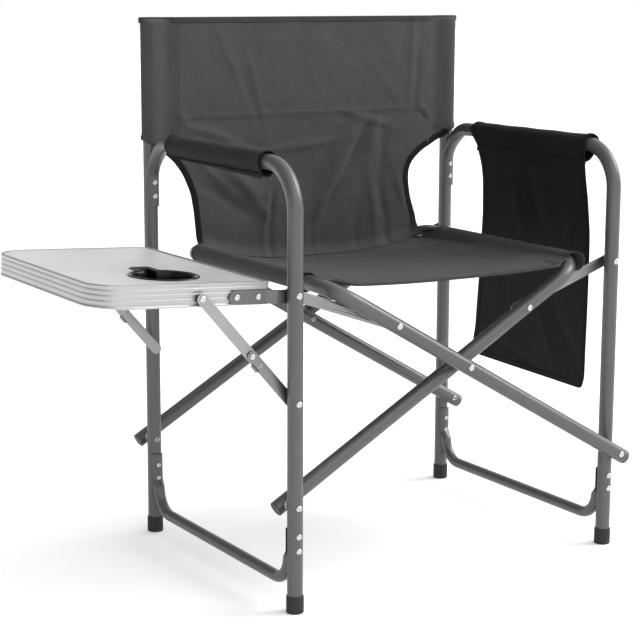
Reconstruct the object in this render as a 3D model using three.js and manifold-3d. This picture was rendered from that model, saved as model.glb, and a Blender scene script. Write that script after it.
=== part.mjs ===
// Folding director chair with a side table and a hanging organiser.
// Millimetres, +Z up, chair facing -Y, table on the -X side, organiser on the +X side.
import * as THREE from 'three';
import { mergeVertices } from 'three/addons/utils/BufferGeometryUtils.js';
import Module from 'manifold-3d';

const wasm = await Module();
wasm.setup();

// ---------------------------------------------------------------- driving dimensions
const TUBE_R = 11;            // main tube radius (22 mm tube)
const WALL = 1.2;             // tube wall
const STR_R = 8.5;            // lower stretcher tube radius
const HW = 286.3;             // half distance between side frames
const HD = 220;               // half distance between front and rear legs
const STAGGER = 28;           // right side frame sits this much behind the left one
const U_OFF = 28;             // cross tube plane to leg axis
const PIV_Z = 151.3;          // lower cross tube pivot height
const CEN_Z = 317.4;          // scissor centre height
const RAIL_X = 226;           // seat rail axis, from the middle
const BEND_R = 48;            // seat rail bend radius
const END_OVER = 15.5;        // cross tube beyond its lower pivot
const LINK_Z = 445.8;          // link and table hinge height on the legs
const FOLD_A = 76;            // folded slope of the cross tubes, degrees
const ARM_Z = 619;            // armrest axis height
const ARM_R = 65;             // armrest front bend radius
const ARM_RR = 45;            // armrest rear bend radius
const ARM_END_Z = 520.5;      // lower end of the armrest's rear drop
const NEST = 19;              // armrest drop axis to rear post axis
const POST_TOP = 797;
const STR_Z = 38;           // stretcher axis height
const STR_BEND = 38;
const STR_NEST = 16.5;
const FOOT_H = 25, FOOT_R = 12.6;
const RIV_R = 2.4, HOLE_R = 2.75;
const STRUT_Z = 297.3;        // strut pivot height on the left legs
const TAB_TILT = 2.9;         // table rises outward by this many degrees
const TAB_IN = 29, TAB_OUT = 281;    // table edges, from the hinge axis
const TAB_Y0 = -214, TAB_Y1 = 163;   // table front and rear faces
const TAB_TOP = 17.3, TAB_BOT = -14.1;
const CUP_A = 144, CUP_Y = -127, CUP_RI = 41, CUP_RO = 43, CUP_LIP = 50;
const N = 14;                 // facets round a tube

const rad = d => d * Math.PI / 180;
const YFL = -HD - STAGGER / 2, YRL = HD - STAGGER / 2, YFR = -HD + STAGGER / 2, YRR = HD + STAGGER / 2;
const SLOPE = Math.atan2(CEN_Z - PIV_Z, HW);
const P_LEN = Math.hypot(HW, CEN_Z - PIV_Z);
const s0 = Math.sin(SLOPE), sF = Math.sin(rad(FOLD_A));
const LH = LINK_Z - PIV_Z;
const Q_LINK = P_LEN * LH / (2 * P_LEN * (s0 + sF) - LH);   // link pivot beyond the centre
const LINK_X = Q_LINK * Math.cos(SLOPE), LINK_PZ = CEN_Z + Q_LINK * s0;
const RAIL_Z = CEN_Z + RAIL_X * Math.tan(SLOPE);

// ---------------------------------------------------------------- solids
function man(geo) {
  let g = geo.index ? geo.clone() : geo.clone();
  for (const k of Object.keys(g.attributes)) if (k !== 'position') g.deleteAttribute(k);
  g = mergeVertices(g, 1e-4);
  const m = new wasm.Mesh({ numProp: 3, vertProperties: new Float32Array(g.attributes.position.array), triVerts: new Uint32Array(g.index.array) });
  return new wasm.Manifold(m);
}
function geoOf(m) {
  const k = m.getMesh(), np = k.numProp, v = k.vertProperties, t = k.triVerts, pos = new Float32Array(t.length * 3);
  for (let i = 0; i < t.length; i++) for (let j = 0; j < 3; j++) pos[i * 3 + j] = v[t[i] * np + j];
  const g = new THREE.BufferGeometry();
  g.setAttribute('position', new THREE.BufferAttribute(pos, 3));
  g.computeVertexNormals();
  return g;
}
const ringPts = (r, n = N) => Array.from({ length: n }, (_, i) => new THREE.Vector2(r * Math.cos((i + 0.5) / n * 2 * Math.PI), r * Math.sin((i + 0.5) / n * 2 * Math.PI)));
class SampledPath extends THREE.Curve {
  constructor(pts) { super(); this.p = pts; this.n = pts.length - 1; }
  getPoint(t) { const f = Math.min(Math.max(t, 0), 1) * this.n, i = Math.min(Math.floor(f), this.n - 1); return this.p[i].clone().lerp(this.p[i + 1], f - i); }
  getPointAt(t) { return this.getPoint(t); }
  getTangent(t) {
    const i = Math.round(t * this.n), a = this.p[Math.max(i - 1, 0)], b = this.p[i], c = this.p[Math.min(i + 1, this.n)];
    const d1 = b.clone().sub(a).normalize(), d2 = c.clone().sub(b).normalize();
    return (i === 0 ? d2 : i === this.n ? d1 : d1.add(d2)).normalize();
  }
  getTangentAt(t) { return this.getTangent(t); }
}
// corner path: straight runs joined by arcs of radius r
function filletPath(corners, radii, seg = 6) {
  const V = corners.map(c => new THREE.Vector3(...c)), out = [V[0]];
  for (let i = 1; i < V.length - 1; i++) {
    const a = V[i - 1].clone().sub(V[i]).normalize(), b = V[i + 1].clone().sub(V[i]).normalize();
    const ang = a.angleTo(b), r = radii[i - 1], d = r / Math.tan(ang / 2);
    const c = V[i].clone().add(a.clone().add(b).normalize().multiplyScalar(r / Math.sin(ang / 2)));
    const s = V[i].clone().add(a.multiplyScalar(d)).sub(c), e = V[i].clone().add(b.multiplyScalar(d)).sub(c), sw = s.angleTo(e);
    for (let k = 0; k <= seg; k++) {
      const t = k / seg, w1 = Math.sin((1 - t) * sw) / Math.sin(sw), w2 = Math.sin(t * sw) / Math.sin(sw);
      out.push(c.clone().add(s.clone().multiplyScalar(w1)).add(e.clone().multiplyScalar(w2)));
    }
  }
  out.push(V[V.length - 1]);
  return out;
}
function tube(points, r, wall = WALL, n = N) {
  const sh = new THREE.Shape(ringPts(r, n));
  if (wall) sh.holes.push(new THREE.Path(ringPts(r - wall, n).reverse()));
  return man(new THREE.ExtrudeGeometry(sh, { steps: points.length - 1, extrudePath: new SampledPath(points), bevelEnabled: false }));
}
const v3 = a => new THREE.Vector3(...a);
function cyl(a, b, r, n = 12) {           // solid cylinder from a to b
  const A = v3(a), B = v3(b), L = A.distanceTo(B), g = new THREE.CylinderGeometry(r, r, L, n);
  g.applyQuaternion(new THREE.Quaternion().setFromUnitVectors(new THREE.Vector3(0, 1, 0), B.clone().sub(A).normalize()));
  const c = A.add(B).multiplyScalar(0.5);
  g.translate(c.x, c.y, c.z);
  return man(g);
}
const holeY = (x, z, y0, y1, r = HOLE_R) => cyl([x, y0, z], [x, y1, z], r, 10);
function prismXY(pts, z0, z1, holes = []) {
  const sh = new THREE.Shape(pts.map(p => new THREE.Vector2(...p)));
  for (const h of holes) sh.holes.push(new THREE.Path(h.map(p => new THREE.Vector2(...p))));
  const g = new THREE.ExtrudeGeometry(sh, { depth: z1 - z0, bevelEnabled: false });
  g.translate(0, 0, z0);
  return man(g);
}
function prismXZ(pts, y0, y1) {
  const g = new THREE.ExtrudeGeometry(new THREE.Shape(pts.map(p => new THREE.Vector2(...p))), { depth: y1 - y0, bevelEnabled: false });
  g.rotateX(Math.PI / 2);
  g.translate(0, y1, 0);
  return man(g);
}
function prismYZ(pts, x0, x1) {           // outline in (y, z)
  const g = new THREE.ExtrudeGeometry(new THREE.Shape(pts.map(p => new THREE.Vector2(...p))), { depth: x1 - x0, bevelEnabled: false });
  g.rotateX(Math.PI / 2); g.rotateZ(Math.PI / 2);
  g.translate(x0, 0, 0);
  return man(g);
}
function box(x0, x1, y0, y1, z0, z1) {
  const g = new THREE.BoxGeometry(x1 - x0, y1 - y0, z1 - z0);
  g.translate((x0 + x1) / 2, (y0 + y1) / 2, (z0 + z1) / 2);
  return man(g);
}
// flat bar with round ends, between two pivots in the x-z plane
function bar(ax, az, bx, bz, w, y0, y1, over = w / 2) {
  const d = Math.hypot(bx - ax, bz - az), ux = (bx - ax) / d, uz = (bz - az) / d, pts = [], k = 6;
  for (let i = 0; i <= k; i++) { const t = -Math.PI / 2 + Math.PI * i / k; pts.push([d + over - w / 2 + w / 2 * Math.cos(t), w / 2 * Math.sin(t)]); }
  for (let i = 0; i <= k; i++) { const t = Math.PI / 2 + Math.PI * i / k; pts.push([-(over - w / 2) + w / 2 * Math.cos(t), w / 2 * Math.sin(t)]); }
  return prismXZ(pts.map(([s, t]) => [ax + s * ux - t * uz, az + s * uz + t * ux]), y0, y1);
}
// rivet along y: domed head at y0 side, shank to y1, ring tail beyond y1 when tail > 0
function rivet(x, z, y0, y1, tail = 1.2, head = 2.2, rh = 4.6, rt = 3.8) {
  const L = y1 - y0, p = [[0, -head], [rh * 0.6, -head * 0.85], [rh * 0.9, -head * 0.45], [rh, -0.3], [RIV_R, -0.3], [RIV_R, L + (tail ? 0.3 : 0)]];
  if (tail) p.push([rt, L + 0.3], [rt, L + 0.3 + tail]);
  p.push([0, L + (tail ? 0.3 + tail : 0)]);
  const g = new THREE.LatheGeometry(p.map(q => new THREE.Vector2(...q)), 10);
  g.translate(x, y0, z);
  return man(g);
}
function washer(x, z, y0, y1, ro, ri = HOLE_R) { return cyl([x, y0, z], [x, y1, z], ro, 14).subtract(cyl([x, y0 - 1, z], [x, y1 + 1, z], ri, 10)); }

// ---------------------------------------------------------------- materials
const C = {
  frame: [0x66686a, 0.55, 0.3], foot: [0x2b2b2c, 0.8, 0.0], fabric: [0x454649, 0.9, 0.0], sleeve: [0x2c2c2e, 0.9, 0.0],
  black: [0x1b1b1d, 0.9, 0.0], alu: [0xc9ccce, 0.35, 0.9], top: [0xd6d7d6, 0.5, 0.2], steel: [0xa9abac, 0.4, 0.8],
  rivet: [0xd8d8d8, 0.3, 1.0], plug: [0xb9bbbc, 0.6, 0.0], cup: [0x141415, 0.4, 0.0],
};
const chair = new THREE.Group(), tableGroup = new THREE.Group();
chair.add(tableGroup);
function put(name, m, c, parent = chair) {
  const mesh = new THREE.Mesh(geoOf(m), new THREE.MeshStandardMaterial({ color: c[0], roughness: c[1], metalness: c[2] }));
  mesh.name = name; parent.add(mesh); return mesh;
}

// ---------------------------------------------------------------- side frames
function sideFrame(side) {
  const L = side < 0, x = side * HW, yf = L ? YFL : YFR, yr = L ? YRL : YRR, s = L ? 'left' : 'right';
  // front leg, armrest and rear drop in one bent tube
  let arm = tube(filletPath([[x, yf, 3.2], [x, yf, ARM_Z], [x, yr - NEST, ARM_Z], [x, yr - NEST, ARM_END_Z]], [ARM_R, ARM_RR]), TUBE_R);
  arm = arm.subtract(cyl([x, yr, 300], [x, yr, 700], TUBE_R + 0.3, 28));
  const holesF = L ? [[PIV_Z, yf - 20, yf + 20], [LINK_Z, yf - 20, yf + 20], [STRUT_Z, yf - 20, yf + 20]] : [[PIV_Z, yf - 20, yf + 20], [LINK_Z, yf - 20, yf + 20]];
  for (const [z, a, b] of holesF) arm = arm.subtract(holeY(x, z, a, b));
  put(`${s}_leg_arm_tube`, arm, C.frame);
  let post = tube([v3([x, yr, 3.2]), v3([x, yr, POST_TOP])], TUBE_R);
  for (const z of L ? [PIV_Z, LINK_Z, STRUT_Z] : [PIV_Z, LINK_Z]) post = post.subtract(holeY(x, z, yr - 20, yr + 20));
  put(`${s}_rear_post`, post, C.frame);
  let st = tube(filletPath([[x, yf + STR_NEST, 120], [x, yf + STR_NEST, STR_Z], [x, yr - STR_NEST, STR_Z], [x, yr - STR_NEST, 128]], [STR_BEND, STR_BEND]), STR_R, 1.2, 12);
  st = st.subtract(cyl([x, yf, 0], [x, yf, 200], TUBE_R + 0.3, 28)).subtract(cyl([x, yr, 0], [x, yr, 200], TUBE_R + 0.3, 28));
  put(`${s}_stretcher`, st, C.frame);
  for (const [y, n] of [[yf, 'front'], [yr, 'rear']]) {
    let f = cyl([x, y, 0], [x, y, FOOT_H], FOOT_R, 18).subtract(cyl([x, y, 3], [x, y, FOOT_H + 2], TUBE_R + 0.2, 18));
    put(`foot_cap_${n}_${s}`, f, C.foot);
  }
}
sideFrame(-1); sideFrame(1);

// ---------------------------------------------------------------- cross tubes, each one bent U: seat rail and two diagonals
const ct = Math.cos(SLOPE), st_ = Math.sin(SLOPE);
function crossTube(side, yf, yr) {        // side = side of its seat rail
  const lx = -side * (HW + END_OVER * ct), lz = PIV_Z - END_OVER * st_, rx = side * RAIL_X;
  let t = tube(filletPath([[lx, yf, lz], [rx, yf, RAIL_Z], [rx, yr, RAIL_Z], [lx, yr, lz]], [BEND_R, BEND_R]), TUBE_R);
  for (const y of [yf, yr]) for (const [hx, hz] of [[-side * HW, PIV_Z], [0, CEN_Z], [side * LINK_X, LINK_PZ]]) t = t.subtract(holeY(hx, hz, y - 20, y + 20));
  return t;
}
const U1F = YFR - U_OFF, U1R = YRR - U_OFF, U2F = YFL + U_OFF, U2R = YRL + U_OFF;
put('cross_tube_left_rail', crossTube(-1, U1F, U1R), C.frame);
put('cross_tube_right_rail', crossTube(1, U2F, U2R), C.frame);
function plug(side, y, name) {
  const d = [-side * ct, 0, -st_], p = [-side * HW + d[0] * END_OVER, y, PIV_Z + d[2] * END_OVER];
  const at = k => [p[0] + d[0] * k, y, p[2] + d[2] * k];
  put(name, cyl(at(0.3), at(1.8), TUBE_R, 18).add(cyl(at(-9), at(0.6), TUBE_R - WALL - 0.4, 14)), C.plug);
}
plug(-1, U1F, 'end_plug_front_right'); plug(-1, U1R, 'end_plug_rear_right');
plug(1, U2F, 'end_plug_front_left'); plug(1, U2R, 'end_plug_rear_left');

// lower pivots: spacer between leg and cross tube, rivet through all three
const G = 0.3;
put('pivot_spacer_front_left', washer(-HW, PIV_Z, YFL + TUBE_R + G, U2F - TUBE_R - G, 8), C.plug);
put('pivot_spacer_rear_left', washer(-HW, PIV_Z, YRL + TUBE_R + G, U2R - TUBE_R - G, 8), C.plug);
put('pivot_spacer_front_right', washer(HW, PIV_Z, U1F + TUBE_R + G, YFR - TUBE_R - G, 8), C.plug);
put('pivot_spacer_rear_right', washer(HW, PIV_Z, U1R + TUBE_R + G, YRR - TUBE_R - G, 8), C.plug);
put('center_spacer_front', washer(0, CEN_Z, U1F + TUBE_R + G, U2F - TUBE_R - G, 8), C.plug);
put('center_spacer_rear', washer(0, CEN_Z, U1R + TUBE_R + G, U2R - TUBE_R - G, 8), C.plug);
put('pivot_rivet_front_left', rivet(-HW, PIV_Z, YFL - TUBE_R, U2F + TUBE_R), C.rivet);
put('pivot_rivet_rear_left', rivet(-HW, PIV_Z, YRL - TUBE_R, U2R + TUBE_R), C.rivet);
put('pivot_rivet_front_right', rivet(HW, PIV_Z, U1F - TUBE_R, YFR + TUBE_R), C.rivet);
put('pivot_rivet_rear_right', rivet(HW, PIV_Z, U1R - TUBE_R, YRR + TUBE_R), C.rivet);
put('center_rivet_front', rivet(0, CEN_Z, U1F - TUBE_R, U2F + TUBE_R), C.rivet);
put('center_rivet_rear', rivet(0, CEN_Z, U1R - TUBE_R, U2R + TUBE_R), C.rivet);

// ---------------------------------------------------------------- links from the legs to the cross tubes
const LINK_W = 16, LINK_T = 2.7;
const lkFL = YFL + TUBE_R + 2.8, lkRL = YRL + TUBE_R + 0.6, lkFR = U2F + TUBE_R + 1.2, lkRR = U2R + TUBE_R + 1.2;
function link(name, side, y) {
  let b = bar(side * HW, LINK_Z, side * LINK_X, LINK_PZ, LINK_W, y, y + LINK_T, 10);
  b = b.subtract(holeY(side * HW, LINK_Z, y - 5, y + 8));
  put(name, b, C.alu);
}
link('link_front_left', -1, lkFL); link('link_rear_left', -1, lkRL);
link('link_front_right', 1, lkFR); link('link_rear_right', 1, lkRR);
put('link_pin_front_left', rivet(-HW, LINK_Z, YFL - TUBE_R, lkFL + LINK_T, 1.0), C.rivet);
put('link_pin_rear_left', rivet(-HW, LINK_Z, YRL - TUBE_R - 2.6, lkRL + LINK_T, 1.0), C.rivet);
put('link_pin_front_right', rivet(HW, LINK_Z, YFR - TUBE_R, lkFR + LINK_T, 1.0), C.rivet);
put('link_pin_rear_right', rivet(HW, LINK_Z, YRR - TUBE_R, lkRR + LINK_T, 1.0), C.rivet);
put('link_rivet_front_left', rivet(-LINK_X, LINK_PZ, U1F - TUBE_R, U1F + TUBE_R, 0.9), C.rivet);
put('link_rivet_rear_left', rivet(-LINK_X, LINK_PZ, U1R - TUBE_R, U1R + TUBE_R, 0), C.rivet);
put('link_rivet_front_right', rivet(LINK_X, LINK_PZ, U2F - TUBE_R, U2F + TUBE_R, 0), C.rivet);
put('link_rivet_rear_right', rivet(LINK_X, LINK_PZ, U2R - TUBE_R, U2R + TUBE_R, 0), C.rivet);

// ---------------------------------------------------------------- side table, built level about its hinge axis, then tilted
function outline(o) {                     // table outline moved in by o; outer corners round, inner corners nearly square
  const x0 = -TAB_OUT + o, x1 = -TAB_IN - o, y0 = TAB_Y0 + o, y1 = TAB_Y1 - o, r = Math.max(55 - o, 4), q = Math.max(3 - o, 0.5), p = [];
  const arc = (cx, cy, rr, a0, n) => { for (let i = 0; i <= n; i++) { const a = rad(a0 + 90 * i / n); p.push([cx + rr * Math.cos(a), cy + rr * Math.sin(a)]); } };
  arc(x0 + r, y0 + r, r, 180, 6); arc(x1 - q, y0 + q, q, 270, 2); arc(x1 - q, y1 - q, q, 0, 2); arc(x0 + r, y1 - r, r, 90, 6);
  return p;
}
const ringZ = (a, b, z0, z1) => prismXY(outline(a), z0, z1).subtract(prismXY(outline(b), z0 - 1, z1 + 1));
let tf = ringZ(1.2, 3.0, TAB_BOT, TAB_TOP).add(ringZ(0, 10, TAB_TOP - 2, TAB_TOP)).add(ringZ(0, 10, TAB_BOT, TAB_BOT + 2)).add(ringZ(3, 9, 9.6, 11.4));
put('table_frame', tf, C.alu, tableGroup);
const cupHole = (r, e, z0, z1) => cyl([-CUP_A, CUP_Y, z0], [-CUP_A, CUP_Y, z1], r, 28).add(box(-CUP_A - 13 - e, -CUP_A + 13 + e, CUP_Y, CUP_Y + 70 + e, z0, z1));
put('table_top', prismXY(outline(4), 11.7, 15).subtract(cupHole(CUP_RO + 0.4, 2.4, 0, 30)), C.top, tableGroup);
let cup = cupHole(CUP_RO, 2, -18, 15.4).add(cupHole(CUP_LIP, 8, 15.3, 17.8)).subtract(cupHole(CUP_RI, 0, -16, 30));
put('cup_holder', cup, C.cup, tableGroup);
// hinge bars: flat on the table's end face, stepped out to the leg
function hingeBar(yFace, yPiv, t, sgn) {
  // strip profile in (x, y): from the table rivets to the hinge axis
  const a = [[-92, yFace], [-34, yFace], [-24, yPiv], [9, yPiv]];
  const b = a.map(([x, y]) => [x, y + sgn * t]);
  const pts = [...a, ...b.reverse()];
  let m = prismXY(pts, -12.5, 6.5);
  return m.subtract(cyl([0, -400, 0], [0, 400, 0], HOLE_R, 10));
}
// profile sits between the face and face + t, so the step keeps its thickness in y
const hbF = prismXY([[-92, TAB_Y0 - 0.3], [-34, TAB_Y0 - 0.3], [-22, YFL + TUBE_R + 2.3], [9, YFL + TUBE_R + 2.3], [9, YFL + TUBE_R + 0.3], [-23, YFL + TUBE_R + 0.3], [-35, TAB_Y0 - 2.3], [-92, TAB_Y0 - 2.3]], -12.5, 6.5)
  .subtract(cyl([0, -400, 0], [0, 400, 0], HOLE_R, 10));
put('table_hinge_bar_front', hbF, C.steel, tableGroup);
const yb = YRL - TUBE_R - 2.3;
const hbR = prismXY([[-92, TAB_Y1 + 0.3], [-32, TAB_Y1 + 0.3], [-20.5, yb], [9, yb], [9, yb + 2], [-22, yb + 2], [-33.5, TAB_Y1 + 2.3], [-92, TAB_Y1 + 2.3]], -12.5, 6.5)
  .subtract(cyl([0, -400, 0], [0, 400, 0], HOLE_R, 10));
put('table_hinge_bar_rear', hbR, C.steel, tableGroup);
tableGroup.position.set(-HW, 0, LINK_Z);
tableGroup.rotation.y = rad(TAB_TILT);

// ---------------------------------------------------------------- folding struts under the table
const STRUT_W = 16, L_LOW = 90.2;
const tA = 132.2, tH = -3.0;              // strut rivet on the table, along and above the hinge axis
const TX = -HW - tA * Math.cos(rad(TAB_TILT)) + tH * Math.sin(rad(TAB_TILT)), TZ = LINK_Z + tA * Math.sin(rad(TAB_TILT)) + tH * Math.cos(rad(TAB_TILT));
const SD = Math.hypot(TX + HW, TZ - STRUT_Z), KX = -HW + (TX + HW) / SD * L_LOW, KZ = STRUT_Z + (TZ - STRUT_Z) / SD * L_LOW;
function strut(nm, yLow, yUp, t, yFace, front) {
  const ux = (TX + HW) / SD, uz = (TZ - STRUT_Z) / SD;
  let low = bar(-HW, STRUT_Z, KX, KZ, STRUT_W, yLow, yLow + t);
  // small stop tab beside the knee
  const px = -uz, pz = ux, sx = KX - ux * 15, sz = KZ - uz * 15;
  low = low.add(prismXZ([[sx + px * 6, sz + pz * 6], [sx + ux * 9 + px * 6, sz + uz * 9 + pz * 6], [sx + ux * 7 + px * 11, sz + uz * 7 + pz * 11], [sx - ux * 5 + px * 11, sz - uz * 5 + pz * 11], [sx - ux * 8 + px * 6, sz - uz * 8 + pz * 6]], yLow, yLow + t));
  low = low.subtract(holeY(-HW, STRUT_Z, yLow - 4, yLow + 6)).subtract(holeY(KX, KZ, yLow - 4, yLow + 6));
  put(`strut_lower_${nm}`, low, C.steel);
  let up = bar(KX, KZ, TX, TZ, STRUT_W, yUp, yUp + t);
  // stand-off boss that carries the strut clear of the table's edge
  const b0 = front ? yUp + t - 0.4 : yFace + 0.3, b1 = front ? yFace - 0.3 : yUp + 0.4;
  up = up.add(cyl([TX, b0, TZ], [TX, b1, TZ], 6, 12));
  put(`strut_upper_${nm}`, up, C.steel);
}
const sF0 = YFL + TUBE_R + 0.3, sR1 = YRL - TUBE_R - 0.3;
strut('front', sF0, sF0 + 2.3, 2, TAB_Y0, true);
strut('rear', sR1 - 2, sR1 - 4.3, 2, TAB_Y1, false);
put('strut_pin_front', rivet(-HW, STRUT_Z, YFL - TUBE_R, sF0 + 1.9, 0), C.rivet);
{ // rear pin is headed behind the post
  const g = rivet(-HW, STRUT_Z, -(YRL + TUBE_R), -(sR1 - 1.9), 0).mirror([0, 1, 0]);
  put('strut_pin_rear', g, C.rivet);
}
put('knee_rivet_front', rivet(KX, KZ, sF0, sF0 + 1.9, 0, 2.0, 4.3), C.rivet);
put('knee_rivet_rear', rivet(KX, KZ, -sR1, -(sR1 - 1.9), 0, 2.0, 4.3).mirror([0, 1, 0]), C.rivet);

// ---------------------------------------------------------------- fabric: arm sleeves, organiser, seat and back
const sleeveY = (x, z, y0, y1, ri, ro) => cyl([x, y0, z], [x, y1, z], ro, 18).subtract(cyl([x, y0 - 1, z], [x, y1 + 1, z], ri, 18));
put('left_arm_sleeve', sleeveY(-HW, ARM_Z, -160, 126, 11.4, 14.8), C.sleeve);
put('right_arm_sleeve', sleeveY(HW, ARM_Z, -139, 125, 11.4, 14.8), C.black);
// organiser hangs under the right armrest; two pockets on its outer face
{
  const x = HW - 1;
  let p = prismYZ([[-150, 603.8], [-157, 500], [-157, 256], [-146, 242], [128, 242], [139, 256], [122, 470], [120, 545], [132, 603.8]].reverse(), x - 1.5, x + 1.5);
  const pocket = (y0, y1, z0, z1, d) => box(x + 1, x + 1.5 + d + 1.5, y0, y1, z0, z1).subtract(box(x + 1.5, x + 1.5 + d, y0 + 1.5, y1 - 1.5, z0 + 1.5, z1 + 5));
  p = p.add(pocket(-150, 124, 250, 415, 15)).add(pocket(-60, 60, 440, 560, 12));
  put('organiser_panel', p, C.black);
}
const SAG_F = 446, SAG_R = 424;            // height of the seat's middle at the front and at the back
// sheet 2 mm thick over a plan triangle, on the plane through its three corners
function triSheet(P) {
  const [p, q, r] = P.map(c => new THREE.Vector3(...c)), n = q.clone().sub(p).cross(r.clone().sub(p));
  const B = -n.x / n.z, Cc = -n.y / n.z, A = p.z - B * p.x - Cc * p.y;
  const slab = box(-320, 320, -320, 320, -1, 1).transform(new THREE.Matrix4().set(1, 0, 0, 0, 0, 1, 0, 0, B, Cc, 1, A, 0, 0, 0, 1).toArray());
  const o = n.z > 0 ? [p, q, r] : [p, r, q];
  const tall = prismXY(o.map(c => [c.x, c.y]), 360, 560);
  return slab.intersect(tall);
}
function seatHalf(side) {
  const rx = side * RAIL_X, z0 = RAIL_Z, y1 = 192;
  const e = side * 0.15;
  const zr = z0 + 12.3, xt = side * 200;
  // the two halves of the sling: rail to middle, deeper toward the back
  let p = triSheet([[rx, -229, zr], [e, -229, SAG_F], [rx, 150, zr]]);
  p = p.add(triSheet([[rx, 150, zr], [e, -229, SAG_F], [e, y1, SAG_R]]));
  p = p.add(sleeveY(rx, z0, side < 0 ? -184 : -154, 150, 11.4, 13.4));
  return p;
}
put('seat_left', seatHalf(-1), C.fabric);
put('seat_right', seatHalf(1), C.fabric);
function backHalf(side) {
  const L = side < 0, x = side * HW, yp = L ? YRL : YRR, e = side * 0.15;
  const yAt = xx => (YRL + YRR) / 2 + (YRR - YRL) / 2 * xx / HW;
  const T = 1.1, edge = [[276, 640], [262, 606], [232, 568], [216, 535], [207, 505], [205, 480], [208, 456], [172, 446], [130, 434], [90, 428], [50, 426]];
  const out = [[e, 806], [x, 806], [x, 640], ...edge.map(([a, z]) => [side * a, z]), [e, 426]];
  let m = prismXZ(L ? out.reverse() : out, 150, 300);
  // curved sheet: upright above, drawn forward below
  const prof = (o, q) => [[yAt(q) - 8 + o, 810], [yAt(q) - 8 + o, 600], [yAt(q) - 8 + o, 520], [yAt(q) - 10 + o, 470], [yAt(q) - 16 + o, 445], [yAt(q) - 22 + o, 420]];
  // sheet as a loft across x made from two slanted prisms
  const a = prof(-T, 0), b = prof(T, 0);
  let sheet = prismYZ([...a, ...b.reverse()], -300, 300);
  const sk = new THREE.Matrix4().set(1, 0, 0, 0, (YRR - YRL) / 2 / HW, 1, 0, 0, 0, 0, 1, 0, 0, 0, 0, 1);
  sheet = sheet.transform(sk.toArray());
  m = m.intersect(sheet);
  m = m.add(cyl([x, yp, 622], [x, yp, 806], 14.6, 18)).subtract(cyl([x, yp, 600], [x, yp, POST_TOP + 1], 11.4, 18));
  return m;
}
put('back_left', backHalf(-1), C.fabric);
put('back_right', backHalf(1), C.fabric);

// ---------------------------------------------------------------- origin: middle of the footprint box, on the floor
chair.updateMatrixWorld(true);
const bb = new THREE.Box3().setFromObject(chair, true), ctr = bb.getCenter(new THREE.Vector3());
chair.position.set(-ctr.x, -ctr.y, -bb.min.z);
chair.updateMatrixWorld(true);

export default chair;
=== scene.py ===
import math
import bpy, bmesh
import numpy as np
from mathutils import Matrix, Vector, noise


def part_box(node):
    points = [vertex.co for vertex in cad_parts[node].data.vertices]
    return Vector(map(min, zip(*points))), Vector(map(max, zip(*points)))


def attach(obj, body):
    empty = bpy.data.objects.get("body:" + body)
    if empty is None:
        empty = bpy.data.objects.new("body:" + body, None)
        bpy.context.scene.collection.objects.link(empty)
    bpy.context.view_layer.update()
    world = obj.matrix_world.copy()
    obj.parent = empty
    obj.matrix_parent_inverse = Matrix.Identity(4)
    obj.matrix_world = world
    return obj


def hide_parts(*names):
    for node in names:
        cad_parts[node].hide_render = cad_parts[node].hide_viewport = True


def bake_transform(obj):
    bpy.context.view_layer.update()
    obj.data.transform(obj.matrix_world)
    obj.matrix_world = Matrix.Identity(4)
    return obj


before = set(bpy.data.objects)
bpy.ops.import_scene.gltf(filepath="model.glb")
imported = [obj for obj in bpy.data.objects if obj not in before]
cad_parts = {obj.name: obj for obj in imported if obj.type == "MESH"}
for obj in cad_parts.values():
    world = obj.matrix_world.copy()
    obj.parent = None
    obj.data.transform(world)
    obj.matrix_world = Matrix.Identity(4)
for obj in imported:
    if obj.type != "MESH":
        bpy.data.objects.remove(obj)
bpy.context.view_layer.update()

# ------------------------------------------------------------------ dimensions, millimetres, as in the CAD source
HW, HD, STAG, U_OFF = 286.3, 220.0, 28.0, 28.0
TR, SR = 11.0, 8.5
PIV_Z, CEN_Z, RAIL_X, BEND_R, END_OVER = 151.3, 317.4, 226.0, 48.0, 15.5
LINK_Z, FOLD_A = 445.8, 76.0
ARM_Z, ARM_R, ARM_RR, ARM_END, NEST = 619.0, 65.0, 45.0, 520.5, 19.0
POST_TOP, STR_Z, STR_BEND, STR_NEST = 797.0, 38.0, 38.0, 16.5
STRUT_Z, TILT = 297.3, math.radians(2.9)
TAB_IN, TAB_OUT, TY0, TY1, TTOP, TBOT = 29.0, 281.0, -214.0, 163.0, 17.3, -14.1
CUP_A, CUP_Y = 144.0, -127.0
YFL, YRL, YFR, YRR = -HD - STAG / 2, HD - STAG / 2, -HD + STAG / 2, HD + STAG / 2
SLOPE = math.atan2(CEN_Z - PIV_Z, HW)
PL = math.hypot(HW, CEN_Z - PIV_Z)
S0, SF, LH = math.sin(SLOPE), math.sin(math.radians(FOLD_A)), LINK_Z - PIV_Z
QL = PL * LH / (2 * PL * (S0 + SF) - LH)
LINK_X, LINK_PZ = QL * math.cos(SLOPE), CEN_Z + QL * S0
RAIL_Z = CEN_Z + RAIL_X * math.tan(SLOPE)
U1F, U1R, U2F, U2R = YFR - U_OFF, YRR - U_OFF, YFL + U_OFF, YRL + U_OFF
# the CAD shifts the chair so that the origin is the middle of its footprint: read the shift from a post
lo_, hi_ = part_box("left_rear_post")
OFF = np.array([(lo_.x + hi_.x) * 500 + HW, (lo_.y + hi_.y) * 500 - YRL, 0.0])

# ------------------------------------------------------------------ materials
def nodes_of(name):
    m = bpy.data.materials.new(name); m.use_nodes = True
    nt = m.node_tree
    return m, nt, nt.nodes["Principled BSDF"]

def N(nt, kind, **kw):
    n = nt.nodes.new(kind)
    for k, v in kw.items():
        if k in n.inputs: n.inputs[k].default_value = v
        else: setattr(n, k, v)
    return n

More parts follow.
